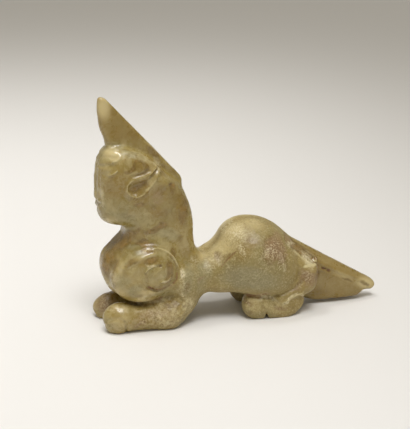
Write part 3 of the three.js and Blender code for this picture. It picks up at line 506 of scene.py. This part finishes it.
# Brown stains in the stone
def brown_stains(x, z):
    throat = spots(x, z, (5.6, 22.9, 4.4, 2.2, 36, 1.2), (2.8, 19.6, 1.8, 2.6, 10, 0.9), (1.4, 17.2, 1.4, 3, 0, 1), (5, 25.6, 1.4, 1.6, 0, 0.8), (8.4, 25.6, 2.6, 1, 30, 0.8),
                   (12.8, 25.6, 3, 0.9, 5, 0.9), (15.6, 26.6, 3.2, 1.1, 22, 1), (11.6, 22.8, 2.4, 1.1, -8, 1.1),
                   (1.8, 14.8, 1, 2.4, 0, 0.6), (3.2, 12.4, 0.8, 1.4, 0, 0.5))
    neck = spots(x, z, (21.4, 31.2, 1.8, 4.6, 8, 0.9), (9.8, 33.7, 2.2, 0.9, 8, 1), (13.6, 32.4, 1.3, 1.2, 0, 0.6), (15.4, 30.4, 3, 1.6, 0, 0.45), (13.2, 32.5, 2, 1.4, 0, 0.5), (3.6, 38.4, 3, 3, 0, 0.3),
                 (17.6, 30, 4.6, 4.4, 20, 0.4), (6, 35.4, 3, 2.4, 0, 0.3),
                 (15, 36, 2.4, 1.8, 30, 0.55), (18.6, 36.9, 1.8, 1.4, -30, 0.8), (18.8, 34.2, 3.2, 2.2, -50, 0.5),
                 (18.6, 20.6, 1.2, 1.8, 10, 0.8), (20, 24, 1, 1.4, 0, 0.5), (7.2, 30.4, 1.6, 0.7, 0, 0.4))
    brow = spots(x, z, (3.2, 40.6, 1, 1.4, 0, 0.4), (16.4, 41.2, 2, 1, -45, 0.5),
                 (10.6, 41.4, 2.6, 0.5, 15, 0.8), (10.2, 43, 1.4, 0.8, 0, 0.4))
    wiggle = 0.95 * band(x, z, 0.75, (6.6, 42.2), (8.6, 43.1), (9.8, 44.3), (11.3, 44.3), (11.8, 42.8), (11.8, 41.4))
    brow = np.maximum(brow, wiggle)
    blade = spots(x, z, (14.6, 44.9, 3.8, 1, -47, 0.75), (11.2, 48.6, 3.4, 0.8, -47, 0.3), (19.4, 40.2, 2.4, 1.1, -47, 0.5),
                  (3.2, 55.6, 0.8, 1.6, 0, 0.3))
    egg_side = spots(x, z, (7.4, 19.2, 2.6, 1, 28, 0.8),
                     (12, 12.6, 2.4, 0.9, 0, 0.7), (10.2, 15.4, 0.9, 1.8, 0, 0.5), (9, 10.8, 1.8, 0.7, 0, 0.5),
                     (14.8, 8.6, 2.2, 0.6, 4, 0.8), (5.6, 16.6, 1.2, 1.6, 0, 0.5), (21.6, 11, 1, 2.6, 0, 0.5))
    rear = spots(x, z, (43.8, 20.4, 3.4, 2, -42, 1), (43, 19, 2.8, 2.4, -30, 1), (39, 21.8, 2.8, 1.6, -20, 0.5), (30.4, 17.2, 1.8, 1.1, 45, 0.55),
                 (17.7, 6.2, 2, 1.4, 0, 0.6), (45.8, 17.4, 2.4, 2, -50, 0.65), (57, 10.8, 0.8, 1.4, 0, 0.9), (50, 3.2, 2, 1.2, 0, 0.45), (44.8, 3.4, 0.8, 1.4, 0, 0.6), (38.6, 2.4, 1.6, 0.9, 0, 0.5), (47.2, 15.4, 1.2, 2.4, 0, 0.5),
                 (54, 10.6, 2.6, 2, -30, 0.5), (51, 8.4, 3.4, 0.7, 38, 0.7), (46.4, 2.9, 1.8, 0.9, 0, 0.6),
                 (38.4, 4.9, 0.9, 0.8, 0, 0.5), (32.4, 17.4, 3, 0.6, 50, 0.6), (34.6, 21.6, 3.4, 1, 42, 0.4),
                 (40.4, 6.8, 3.2, 0.6, -4, 0.9))
    blade_tail = spots(x, z, (56.8, 14.4, 2.6, 0.9, -30, 0.7), (72.2, 4.6, 2.2, 0.9, -25, 0.7),
                       (60, 3.6, 3.6, 1.6, 0, 0.5), (67.6, 6.6, 2.4, 0.5, -28, 0.6), (62.6, 9.8, 4, 0.7, -31, 0.4))
    return np.maximum.reduce([throat, neck, brow, blade, egg_side, rear, blade_tail])


# Brown stone that follows the carving: round the boss, inside the ear, and in the hollow at the root of the tail
def brown_carving(x, z):
    r, turn = round_boss(x, z)
    round_it = 0.95 * mark(r - 4.1, 1.7) * np.clip(np.minimum(turn - 40, 150 - turn) / 25, 0, 1)
    below = 0.6 * mark(r - 3.9, 1) * np.clip(np.minimum(turn - 140, 215 - turn) / 25, 0, 1)
    ear = 0.9 * band(x, z, 1.7, (8.9, 37.4), (11.4, 38.7))
    under_ridge = spots(x, z, (12, 19.5, 2.6, 0.9, 12, 1.1))
    root = 1.3 * band(x, z, 1.6, (49, 20.4), (53, 17), (57.4, 13.4))
    return np.maximum.reduce([round_it, below, ear, under_ridge, root])


# Places where the stone is a deeper gold
def golden_places(x, z):
    front = spots(x, z, (4.4, 38.6, 4, 4.2, 0, 1), (10.4, 36, 4, 4, 30, 0.9), (20.8, 31.4, 2.4, 5.6, 8, 0.9),
                  (14.6, 30.8, 4.4, 2.6, 0, 0.9), (9, 31.4, 3, 1.6, 0, 0.5), (17.4, 6.4, 2, 2, 0, 0.5),
                  (2, 17.6, 2.2, 4.4, 0, 0.9), (12, 19, 4, 1.8, 10, 1), (4, 5.2, 3, 2.4, 0, 0.6),
                  (15.4, 37, 4, 3, -40, 0.6), (11, 42.8, 3.4, 1.8, -10, 0.8), (8, 24, 5, 3, 20, 0.6))
    rear = spots(x, z, (36.6, 19.6, 4.4, 2.4, 45, 0.6), (38.8, 21.4, 3, 2, 0, 0.7), (45.4, 19.8, 4.4, 2.6, -45, 0.6), (26, 17.8, 2.4, 1, 30, 0.4))
    return np.maximum(front, rear)


# Places where it is a cooler, clearer green
def green_places(x, z):
    front = spots(x, z, (6, 30.2, 4.6, 1.8, -8, 0.5), (17, 24.4, 3.4, 2.8, 0, 0.6), (12.6, 30, 2.6, 1, 0, 0.4),
                  (4.8, 14.6, 2, 4, 0, 0.6), (8, 12, 3, 2.4, 0, 0.7), (21.8, 13, 2, 5.4, -6, 0.9),
                  (15.6, 9.9, 3.4, 1.4, -8, 0.8), (8, 46.5, 5.6, 1.3, -17, 0.7), (1.4, 33, 1.2, 2.6, 0, 0.5),
                  (9, 21.9, 4, 0.9, 10, 0.7), (13.6, 24.8, 2.6, 0.8, 0, 0.5))
    rear = spots(x, z, (38.4, 12.2, 9, 4, -10, 1), (25.8, 13.4, 3, 4, 0, 0.9), (41.6, 16.8, 3, 2, 0, 0.4),
                 (42.4, 5.3, 4.4, 0.7, -4, 0.5))
    return np.maximum(front, rear)


# Places where the stone has weathered to a pale, crumbly skin; the spots on the brow and on the top of the haunch are
# painted highlights
def pale_places(x, z):
    top = spots(x, z, (9.5, 45.6, 5, 1.3, -22, 0.55), (4.4, 46.6, 2.4, 1.2, 0, 0.5), (15.3, 42.6, 2, 1.6, -45, 0.6),
                (9.5, 31, 4, 1.4, 0, 0.35), (1.2, 36, 0.7, 5, 0, 0.6))
    chest = spots(x, z, (3.4, 15, 1.2, 4, -12, 0.6), (10.5, 9, 3.4, 1.6, -12, 0.7), (20.4, 14.6, 0.9, 2, -15, 0.9),
                  (20.3, 8.8, 0.8, 1, 0, 0.9), (24.2, 17.4, 1, 1.6, 20, 0.5),
                  (4, 6.6, 3.4, 1.2, 0, 0.5), (11, 18.3, 1.8, 0.7, 0, 0.4), (12, 17.8, 1.6, 0.5, 12, 0.9),
                  (15.9, 13.9, 1.6, 0.45, 12, 1), (18.4, 9.4, 3, 2.4, 40, 0.5))
    arm = spots(x, z, (15.5, 3.6, 5.5, 2.8, 0, 0.6), (21.6, 6.6, 2.4, 4, -30, 0.6), (2.6, 2.4, 1.6, 1.6, 0, 0.3))
    rear = spots(x, z, (36.4, 22.8, 3, 1.6, 10, 0.3), (42.6, 19.3, 1.6, 0.8, 10, 0.95),
                 (46, 17.6, 1, 1.8, 0, 0.9), (46.6, 14.9, 0.9, 1.5, 0, 0.7), (35.6, 20.6, 0.8, 2.6, 30, 0.4),
                 (31.2, 19.4, 3, 1.4, 46, 0.35), (50.3, 19, 3, 0.6, -38, 0.9), (55, 14.4, 2, 1.4, -14, 0.9))
    foot = spots(x, z, (42.5, 5.4, 4.2, 0.5, -4, 0.8), (49.6, 5.4, 3.4, 0.5, 30, 1), (52.4, 6, 0.9, 0.8, 0, 0.8))
    return np.maximum.reduce([top, chest, arm, rear, foot])


# Places where the stone is lighter and clearer, with painted highlights on the brow, the crest's tip, the shoulder's
# ridge and the haunch's top
def lighter_stone_and_highlight_places(x, z):
    blade = spots(x, z, (2.6, 57.2, 1.9, 3.6, 4, 1), (2.6, 50.8, 1, 3.6, 12, 0.15))
    front = spots(x, z, (4, 46, 2.7, 1.6, -10, 1), (4.4, 11, 2.4, 1.4, -30, 0.5), (9.9, 8.6, 3, 1, -10, 0.8), (8, 16.4, 3.4, 2.6, 0, 0.25),
                  (7.9, 19.6, 2.2, 1, 20, 0.5), (4.2, 18.2, 1.6, 2, 0, 0.5), (3.2, 29.4, 1.8, 1.4, 0, 0.5), (12.6, 39.2, 1.6, 1, 45, 0.5), (11, 11.2, 3, 1.1, 0, 0.6),
                  (4, 7.4, 3, 1.4, 0, 0.2), (3.6, 4, 3, 2.4, 0, 0.33), (14.4, 15.6, 1.6, 1.8, 0, 0.25))
    ridge = 0.5 * band(x, z, 1.3, (6.4, 18.6), (9.5, 20.2), (13, 21.3))
    rear = spots(x, z, (34.6, 23.6, 4.2, 2.2, 30, 0.9), (62, 5.8, 6, 3, -12, 0.14), (66, 7.6, 5, 1.1, -30, 0.45), (28, 18.4, 3.4, 1.4, 30, 1),
                 (40.2, 25, 3.4, 1.2, -10, 0.6), (42.4, 3.8, 1, 1.4, 0, 0.4), (31.8, 20.2, 5.4, 2.6, 46, 0.9), (72.8, 4.4, 3.8, 1.8, -20, 1),
                 (39, 4.2, 2.4, 2.4, 0, 0.4), (45.6, 3.2, 3, 1.8, 0, 0.33), (55, 14, 2, 1.4, -14, 0.45))
    roof = 0.1 * band(x, z, 2, (57, 14), (64, 10.6), (73, 5.4))
    return np.maximum.reduce([blade, front, ridge, rear, roof])


# High spots that handling has polished
def polished_places(x, z):
    ridge = band(x, z, 1.2, (7.4, 19.2), (9.5, 20.2), (13.2, 21.3))
    high = spots(x, z, (4.2, 46.6, 3, 1.6, -8, 1), (4, 7.2, 3, 1.4, 0, 0.3),
                 (55.4, 13.6, 2.6, 1.6, -14, 1), (2.6, 56, 1.6, 4, 0, 0.6))
    return np.maximum(ridge, high)


# Worn places where single grains catch the light: smoother there, with painted glints in their colour
def glint_speckle_places(x, z):
    return spots(x, z, (34.7, 23.4, 2.2, 2.4, 0, 1), (35.8, 20.2, 1, 2.6, 20, 0.6),
                 (42.4, 18.6, 2.2, 2.2, -30, 0.4), (24.4, 17, 1.4, 1.6, 0, 0.6), (45.8, 15.4, 1, 1.6, 0, 0.7),
                 (28.6, 16.4, 3, 1.6, 30, 0.3), (20.4, 13.8, 0.9, 2.4, 0, 0.6))


# Reddish soil rubbed into rough places
def soil_places(x, z):
    front = spots(x, z, (8.8, 2.9, 2.8, 1, 0, 0.9), (13, 4.4, 7, 2.2, 0, 0.6), (14.7, 34.6, 2, 2.6, 20, 0.55), (15.6, 8.6, 1.1, 0.6, 0, 0.9),
                  (16, 12.4, 2.6, 0.7, 8, 0.6), (2.6, 3, 1, 1.2, 0, 0.4), (25.2, 12.6, 1.6, 1.2, 0, 0.5),
                  (3.4, 24, 1.4, 1.4, 0, 0.3), (7.4, 36.2, 1, 2, 0, 0.3))
    rear = spots(x, z, (45, 19.2, 4.4, 3.4, -35, 0.95), (54, 10.6, 3.6, 3, -20, 0.9), (57.8, 9.4, 1.8, 3.2, 0, 0.8), (40.6, 6.8, 3.6, 0.7, -4, 1),
                 (51, 7.6, 3, 1, 30, 0.5), (47, 2.6, 3, 0.9, 0, 0.6), (40, 24, 3, 1.6, 0, 0.3), (38, 5, 1, 1, 0, 0.5))
    return np.maximum(front, rear)


# Pale rubbed lines on the rims of the ear, the lids and the carving, partly painted highlights on those rims
def rubbed_and_highlight_lines(x, z):
    return np.maximum.reduce([
        0.75 * band(x, z, 0.4, (6.9, 37.2), (7, 38.6), (8, 39.6), (10, 40.2), (11.5, 40.4), (13.3, 41.3), (14.6, 42.3)),
        0.7 * band(x, z, 0.4, (6.9, 37.2), (7.9, 35.9), (9.4, 35.4), (10.8, 35.9), (12, 36.9)),
        0.75 * band(x, z, 0.7, (11.8, 36.9), (13.3, 38.4), (14.2, 39.4)),
        0.15 * band(x, z, 0.4, (1, 43.4), (2.2, 44.3), (3.7, 44.5)),
        0.9 * band(x, z, 0.4, (4.3, 44.6), (5, 44.9), (5.7, 45.8)),
        0.9 * band(x, z, 0.36, (2.6, 41.2), (3.6, 41.7), (4.7, 42.5)),
        0.45 * band(x, z, 1, (7, 46.8), (9.3, 46), (11.8, 44.9), (13.6, 43.5)),
        0.8 * mark(round_boss(x, z)[0] - 6.1, 0.4) * (x > BOSS[0] - 3) * (z > BOSS[1] + 1),
        0.95 * band(x, z, 0.42, (10.5, 16.6), (11.1, 17.4), (12, 17.9), (13.2, 18.2)),
        0.9 * band(x, z, 0.4, (14.6, 13.7), (15.4, 13.9), (16.1, 13.8), (17.2, 14.4)),
        0.9 * band(x, z, 0.5, (46.9, 4.3), (49, 5.2), (51.2, 6.4), (52.4, 6.3)),
        0.7 * band(x, z, 0.7, (50.4, 17.6), (52, 16), (53.6, 14.6)),
        # Painted highlight along the edge of the hock's facet
        band(x, z, 0.6, (52.9, 13.4), (54.5, 13.4), (57.8, 12.9)),
        0.6 * band(x, z, 0.5, (38, 5.4), (41, 5.5), (44, 5)),
    ])


# Soil that fills the deepest grooves and nicks
def dark_lines(x, z):
    return np.maximum.reduce([
        1.2 * band(x, z, 0.42, (11.4, 12.5), (12.6, 11.8), (14, 11.4), (15.8, 11.6)),
        0.9 * band(x, z, 0.42, (17.9, 12.6), (18.7, 13.6), (19, 15.2)),
        0.9 * band(x, z, 0.26, (31, 15.3), (32.6, 17.2), (34.6, 19.4)),
        0.8 * spots(x, z, (38.4, 6.7, 1.6, 0.7, -6, 1), (40.6, 6.3, 1.6, 0.6, -6, 0.7)),
        0.9 * dot(x, z, 43.3, 6.4, 1.1, 0.6),
        1.2 * band(x, z, 0.4, (59.5, 10.8), (60.3, 10.5)),
        1.2 * band(x, z, 0.4, (61.1, 10), (61.7, 9.6)),
        0.6 * dot(x, z, 58.4, 9.3, 0.6, 0.8),
        0.7 * dot(x, z, 14.4, 17.9, 0.6, 0.6),
        0.6 * band(x, z, 0.42, (17.9, 37.9), (18.5, 37.5), (19.2, 37)),
        0.35 * band(x, z, 0.4, (8.2, 40.8), (11, 41.3), (12.6, 41.9)),
        0.5 * band(x, z, 0.3, (12.4, 39.5), (13.6, 40.8), (14.9, 42)),
        0.35 * band(x, z, 0.5, (11.2, 33.3), (12.9, 33.7)),
        0.3 * dot(x, z, 18.7, 20.4, 0.8, 1),
        0.5 * dot(x, z, 5.6, 2.4, 0.5, 1.4),
    ])


# The right side isn't a true mirror of the left one: its stains lie a little further on and lower
x, y, z = corners.T
right = y > 0
mark_x = x + np.where(right, 1.9, 0) + 1.1 * waves(corners, 4.5, 2, 11) + 0.4 * waves(corners, 1.5, 1, 12)
mark_z = z + np.where(right, 0.9, 0) + 1.1 * waves(corners, 4.5, 2, 13) + 0.4 * waves(corners, 1.5, 1, 14)
side_on = np.clip(np.abs(y) / 2.5, 0, 1)
far_paw = right & (x < 9) & (z < 9)
brown = np.maximum(brown_stains(mark_x, mark_z) * (0.5 + 0.5 * side_on), brown_carving(x, z) * side_on)
brown = np.where(far_paw, spots(x, z, (5, 6.5, 4, 2, 10, 0.9)), brown)
pale = np.where(far_paw, 0, pale_places(mark_x, mark_z))
soil = np.where(far_paw, spots(x, z, (2.5, 3.6, 3, 3, 0, 0.9)), soil_places(mark_x, mark_z))
# Pale rubbed rims, partly painted highlights on them
rubbed_and_highlight = rubbed_and_highlight_lines(x, z) * np.clip((np.abs(y) - 1) / 1.5, 0, 1)
dark = np.where(right & (z < 24) & (x > 8), 0.5, 1) * dark_lines(x, z) * np.clip((np.abs(y) - 1) / 1.5, 0, 1)

# The thin crest and tail let more light in and look golden
thin_parts = np.clip(np.maximum((z - 47) / 3, (x - 54) / 4), 0, 1)
golden = np.maximum(thin_parts, golden_places(mark_x, mark_z))
green = green_places(mark_x, mark_z)
# Lighter, clearer stone and painted highlights, on the sides and the thin parts
light = lighter_stone_and_highlight_places(x, z) * np.maximum(side_on, thin_parts)
polished = polished_places(x, z)
# Painted glints on single grains, which are also made smoother
glint_speckled = glint_speckle_places(x, z)

# How hollow a place is, and how sharp an edge: how the stone lies a little outside and inside its surface
REACH = 0.8
hollow = np.clip(1 - beast(*(corners + REACH * facing).T) / REACH, 0, 1)
edge = np.clip(1 + beast(*(corners - REACH * facing).T) / REACH, 0, 1)

# The haunch, the legs and the back are worn to a fine grain; the head, the shoulders, the crest and tail are smooth
haunch_worn = np.clip((x - 25) / 4, 0, 1) * np.clip((55 - x) / 3, 0, 1) * np.clip(1.6 - np.maximum(x - 38, 0) / 26, 0.8, 1)
arm_worn = np.clip((9.5 - z) / 2, 0, 1) * np.clip((x - 6) / 4, 0, 1)
elbow_worn = np.clip((x - 15.5) / 3, 0, 1) * np.clip((17 - z) / 3, 0, 1)
worn = np.maximum.reduce([haunch_worn, arm_worn, elbow_worn])
worn = np.clip(worn * (0.85 + 0.5 * waves(corners, 5, 2, 6)), 0, 1) * (1 - 0.75 * thin_parts)

# Hand-worked unevenness, crumbling where the skin is pale, and small pits
rough = np.clip(1.2 * np.maximum(pale, soil) - 0.25 + 0.5 * waves(corners, 6, 2, 1), 0, 1) * (1 - 0.85 * thin_parts)
uneven = 0.1 * waves(corners, 7, 1, 2) + 0.035 * waves(corners, 2.4, 2, 3)
crumbly_arm = np.clip((10 - z) / 2, 0, 1) * np.clip((x - 6) / 4, 0, 1) * np.clip((24 - x) / 4, 0, 1)
crumbs = (np.maximum(rough, 0.6 * worn) * 0.07 + 0.16 * crumbly_arm) * waves(corners, 1.1, 2, 4)
pits = np.clip(waves(corners, 1.7, 2, 5) - 0.45, 0, 1) * (0.12 + 0.3 * rough)
standing = (z > 0.4) & (facing[:, 2] > -0.8)
relief = np.where(standing, uneven + crumbs - pits - 0.1 * dark - 0.08, 0)
carved = corners + facing * relief[:, None]


# Back to the frame, inside the node's box
def placed(points):
    x, y, z = points.T
    out = np.stack([LOW.x + (x + PAW_LEAD) * MM, y * MM, LOW.z + z * MM], 1)
    return np.clip(out, np.array(LOW), np.array(HIGH))


mesh = bpy.data.meshes.new("jade_beast_stone")
mesh.from_pydata(placed(carved).tolist(), [], squares.tolist())
mesh.shade_smooth()
for name, strength in (("brown", brown), ("pale", pale), ("soil", soil), ("dark", dark), ("rubbed_and_highlight", rubbed_and_highlight),
                       ("golden", golden), ("green", green), ("thin", thin_parts),
                       ("light", light), ("polished", polished), ("glint_speckled", glint_speckled), ("crumbly", crumbly_arm), ("rough", rough), ("worn", worn), ("hollow", hollow), ("edge", edge)):
    mesh.attributes.new(name, "FLOAT", "POINT").data.foreach_set("value", strength.astype(np.float32))
stone = bpy.data.objects.new("jade_beast_stone", mesh)
bpy.context.scene.collection.objects.link(stone)
print("STONE", len(corners), "corners", 2 * len(squares), "triangles")


# Helpers for materials: each adds one node and gives its result
def put(tree, socket, value):
    if isinstance(value, bpy.types.NodeSocket):
        tree.links.new(value, socket)
    else:
        socket.default_value = value


def blend(tree, amount, a, b, way="MIX"):
    node = tree.nodes.new("ShaderNodeMix")
    node.data_type = "RGBA"
    node.blend_type = way
    for socket, value in zip((0, 6, 7), (amount, a, b)):
        put(tree, node.inputs[socket], value)
    return node.outputs[2]


def sum_of(tree, a, b, way="ADD"):
    node = tree.nodes.new("ShaderNodeMath")
    node.operation = way
    put(tree, node.inputs[0], a)
    put(tree, node.inputs[1], b)
    return node.outputs[0]


# Rises smoothly from 0 to 1, or from bottom to top, while value goes from low to high
def rise(tree, value, low, high, bottom=0.0, top=1.0):
    node = tree.nodes.new("ShaderNodeMapRange")
    node.interpolation_type = "SMOOTHSTEP"
    for name, given in (("Value", value), ("From Min", low), ("From Max", high), ("To Min", bottom), ("To Max", top)):
        put(tree, node.inputs[name], given)
    return node.outputs[0]


# Random cloud in the stone; size is its coarsest wave in millimetres
def cloud(tree, size, detail=3.0, roughness=0.5, shift=0.0, twist=0.0):
    where = tree.nodes.new("ShaderNodeTexCoord").outputs["Object"]
    moved = tree.nodes.new("ShaderNodeMapping")
    put(tree, moved.inputs["Vector"], where)
    moved.inputs["Location"].default_value = (shift, shift * 0.7, -shift)
    node = tree.nodes.new("ShaderNodeTexNoise")
    for name, value in (("Vector", moved.outputs[0]), ("Scale", 1000 / size), ("Detail", detail),
                        ("Roughness", roughness), ("Distortion", twist)):
        put(tree, node.inputs[name], value)
    return node.outputs["Fac"]


def strength_of(tree, name):
    node = tree.nodes.new("ShaderNodeAttribute")
    node.attribute_name = name
    return node.outputs["Fac"]


# A mark from the mesh, its border broken up by a random cloud
def ragged(tree, name, cloud_value, low, high, swing):
    shaken = sum_of(tree, cloud_value, -0.5)
    return rise(tree, sum_of(tree, strength_of(tree, name), sum_of(tree, shaken, swing, "MULTIPLY")), low, high)


OLIVE = (0.248, 0.19, 0.055, 1)
HONEY = (0.278, 0.197, 0.046, 1)
GOLD = (0.232, 0.15, 0.022, 1)
CELADON = (0.255, 0.217, 0.1, 1)
BUTTER = (0.57, 0.465, 0.225, 1)
CREAM = (0.56, 0.475, 0.255, 1)
RUST = (0.155, 0.09, 0.009, 1)
ORANGE = (0.32, 0.19, 0.04, 1)
UMBER = (0.14, 0.082, 0.022, 1)
CHALK = (0.68, 0.60, 0.38, 1)
SOIL = (0.25, 0.148, 0.07, 1)
DARK_SOIL = (0.19, 0.082, 0.024, 1)


# Old polished jade with brown stains, a pale weathered skin in places and soil in its hollows
def jade():
    material = bpy.data.materials.new("jade")
    material.use_nodes = True
    tree = material.node_tree
    shader = tree.nodes["Principled BSDF"]
    drift = cloud(tree, 16, 2, 0.5, 0.1)
    veins = cloud(tree, 8, 5, 0.6, 0.3, 0.8)
    mottle = cloud(tree, 3, 6, 0.66, 0.5, 0.4)
    grain = cloud(tree, 0.9, 4, 0.7, 0.7)
    fleck = cloud(tree, 1.4, 4, 0.65, 0.9)
    crumb = cloud(tree, 0.45, 3, 0.65, 1.1)
    worn = strength_of(tree, "worn")

    stone = blend(tree, rise(tree, drift, 0.38, 0.62), OLIVE, HONEY)
    stone = blend(tree, ragged(tree, "golden", veins, 0.1, 0.9, 0.9), stone, GOLD)
    stone = blend(tree, sum_of(tree, ragged(tree, "green", veins, 0.1, 0.9, 0.9), 0.85, "MULTIPLY"), stone, CELADON)
    # Lighter stone and painted highlights, in butter
    stone = blend(tree, strength_of(tree, "light"), stone, BUTTER)
    clear = rise(tree, sum_of(tree, strength_of(tree, "thin"), worn, "MAXIMUM"), 0.0, 1.0, 1.0, 0.35)
    light = sum_of(tree, clear, rise(tree, mottle, 0.46, 0.72, 0.0, 0.42), "MULTIPLY")
    stone = blend(tree, light, stone, CREAM)
    shade = sum_of(tree, clear, rise(tree, mottle, 0.3, 0.48, 0.4, 0.0), "MULTIPLY")
    stone = blend(tree, shade, stone, GOLD)
    stain = ragged(tree, "brown", mottle, 0.15, 0.75, 1.1)
    stone = blend(tree, sum_of(tree, stain, 0.85, "MULTIPLY"), stone, RUST)
    core = ragged(tree, "brown", grain, 0.7, 1.2, 1.6)
    stone = blend(tree, sum_of(tree, core, 0.6, "MULTIPLY"), stone, UMBER)
    ember = ragged(tree, "brown", fleck, 0.7, 1.1, 2)
    stone = blend(tree, sum_of(tree, ember, 0.5, "MULTIPLY"), stone, ORANGE)
    # Pale crumbly skin in chalk, with painted highlights on the brow and the haunch's top
    pale_skin_and_highlight = ragged(tree, "pale", mottle, 0.2, 0.95, 1.1)
    broken = rise(tree, grain, 0.36, 0.6, 0.25, 0.9)
    stone = blend(tree, sum_of(tree, pale_skin_and_highlight, broken, "MULTIPLY"), stone, CHALK)
    stone = blend(tree, rise(tree, strength_of(tree, "hollow"), 0.12, 0.6, 0.0, 0.4), stone, RUST)
    earth = ragged(tree, "soil", grain, 0.2, 0.9, 1.6)
    stone = blend(tree, sum_of(tree, earth, 0.75, "MULTIPLY"), stone, SOIL)
    crumbly = ragged(tree, "rough", mottle, 0.2, 0.9, 0.8)
    patchy = sum_of(tree, worn, rise(tree, mottle, 0.36, 0.6, 0.3, 0.6), "MULTIPLY")
    coarse = sum_of(tree, crumbly, patchy, "MAXIMUM")
    lumps = strength_of(tree, "crumbly")
    knobs = sum_of(tree, lumps, rise(tree, grain, 0.5, 0.62), "MULTIPLY")
    stone = blend(tree, sum_of(tree, knobs, 0.38, "MULTIPLY"), stone, CREAM)
    gaps = sum_of(tree, lumps, rise(tree, grain, 0.48, 0.36), "MULTIPLY")
    stone = blend(tree, sum_of(tree, gaps, 0.42, "MULTIPLY"), stone, UMBER)
    chalk = sum_of(tree, coarse, rise(tree, crumb, 0.5, 0.62), "MULTIPLY")
    stone = blend(tree, sum_of(tree, chalk, 0.45, "MULTIPLY"), stone, CHALK)
    dirt = sum_of(tree, coarse, rise(tree, crumb, 0.48, 0.36), "MULTIPLY")
    stone = blend(tree, sum_of(tree, dirt, 0.6, "MULTIPLY"), stone, UMBER)
    stone = blend(tree, sum_of(tree, clear, rise(tree, grain, 0.35, 0.7, 0.0, 0.2), "MULTIPLY"), stone, CREAM)
    # Painted glints: chalk specks on the grains of these places
    glint_speckle = sum_of(tree, strength_of(tree, "glint_speckled"), rise(tree, crumb, 0.5, 0.6), "MULTIPLY")
    stone = blend(tree, sum_of(tree, glint_speckle, 0.9, "MULTIPLY"), stone, CHALK)
    stone = blend(tree, rise(tree, fleck, 0.66, 0.72, 0.0, 0.6), stone, UMBER)
    stone = blend(tree, rise(tree, strength_of(tree, "edge"), 0.3, 0.8, 0.0, 0.45), stone, CREAM)
    # Pale rubbed rims and painted highlights, in cream
    stone = blend(tree, ragged(tree, "rubbed_and_highlight", grain, 0.35, 1.0, 0.9), stone, CREAM)
    stone = blend(tree, sum_of(tree, ragged(tree, "dark", grain, 0.2, 1.0, 1.2), 0.9, "MULTIPLY"), stone, DARK_SOIL)
    put(tree, shader.inputs["Base Color"], stone)

    gloss = rise(tree, mottle, 0.3, 0.7, 0.2, 0.34)
    gloss = sum_of(tree, gloss, sum_of(tree, sum_of(tree, coarse, worn), 0.17, "MULTIPLY"))
    smooth = rise(tree, sum_of(tree, strength_of(tree, "polished"), glint_speckle, "MAXIMUM"), 0.1, 0.9, 1.0, 0.4)
    put(tree, shader.inputs["Roughness"], sum_of(tree, gloss, smooth, "MULTIPLY"))
    shader.inputs["IOR"].default_value = 1.58
    shader.inputs["Subsurface Weight"].default_value = 0.25
    shader.inputs["Subsurface Radius"].default_value = (1, 0.75, 0.4)
    shader.inputs["Subsurface Scale"].default_value = 0.001

    bump = tree.nodes.new("ShaderNodeBump")
    bump.inputs["Distance"].default_value = 0.00016
    put(tree, bump.inputs["Strength"], sum_of(tree, sum_of(tree, coarse, 0.9, "MULTIPLY"), 0.05))
    put(tree, bump.inputs["Height"], crumb)
    put(tree, shader.inputs["Normal"], bump.outputs[0])
    return material


mesh.materials.append(jade())
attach(stone, "root")
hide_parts("jade_beast")

# The camera, at the photograph's angle
TARGET = Vector((-0.0091, 0, 0.0271))
DISTANCE, AZIMUTH, ELEVATION = 0.34, math.radians(-15), math.radians(18.5)
FOCAL_PIXELS, LONG_SIDE_PIXELS, SENSOR = 1326, 429, 36
back = Vector((
    math.sin(AZIMUTH) * math.cos(ELEVATION),
    -math.cos(AZIMUTH) * math.cos(ELEVATION),
    math.sin(ELEVATION),
))
camera = bpy.data.objects.new("camera", bpy.data.cameras.new("camera"))
camera.data.sensor_width = SENSOR
camera.data.lens = FOCAL_PIXELS / LONG_SIDE_PIXELS * SENSOR
camera.data.clip_start = 0.01
camera.location = TARGET + DISTANCE * back
camera.rotation_euler = back.to_track_quat("Z", "Y").to_euler()
bpy.context.scene.collection.objects.link(camera)
bpy.context.scene.camera = camera


# Floor
def plain(name, colour, roughness):
    material = bpy.data.materials.new(name)
    material.use_nodes = True
    shader = material.node_tree.nodes["Principled BSDF"]
    shader.inputs["Base Color"].default_value = (*colour, 1)
    shader.inputs["Roughness"].default_value = roughness
    return material


def floor_sheet(half):
    sheet = bpy.data.meshes.new("floor")
    sheet.from_pydata([(-half, -half, 0), (half, -half, 0), (half, half, 0), (-half, half, 0)], [], [(0, 1, 2, 3)])
    sheet.materials.append(plain("floor_paper", (0.80, 0.785, 0.765), 0.8))
    floor = bpy.data.objects.new("floor", sheet)
    bpy.context.scene.collection.objects.link(floor)


floor_sheet(2.5)


# A square lamp that looks down, tilted so that its light falls towards the back; it leaves within the given angle
def lamp(name, place, tilt, side, angle, power, colour):
    light = bpy.data.lights.new(name, "AREA")
    light.shape = "SQUARE"
    light.size = side
    light.spread = math.radians(angle)
    light.energy = power
    light.color = colour
    box = bpy.data.objects.new(name, light)
    box.location = place
    box.rotation_euler.x = math.radians(tilt)
    box.visible_camera = False
    bpy.context.scene.collection.objects.link(box)


lamp("softbox", (-0.347, -0.36, 0.42), 22, 0.892, 35, 1.54, (1, 1, 1))
lamp("small_box", (-0.1, 0.03, 0.42), 0, 0.08, 120, 0.16, (1, 1, 1))
world = bpy.data.worlds.new("studio")
world.use_nodes = True
world.node_tree.nodes["Background"].inputs["Color"].default_value = (1, 0.945, 0.83, 1)
world.node_tree.nodes["Background"].inputs["Strength"].default_value = 0.44
bpy.context.scene.world = world
bpy.context.scene.view_settings.view_transform = "Standard"
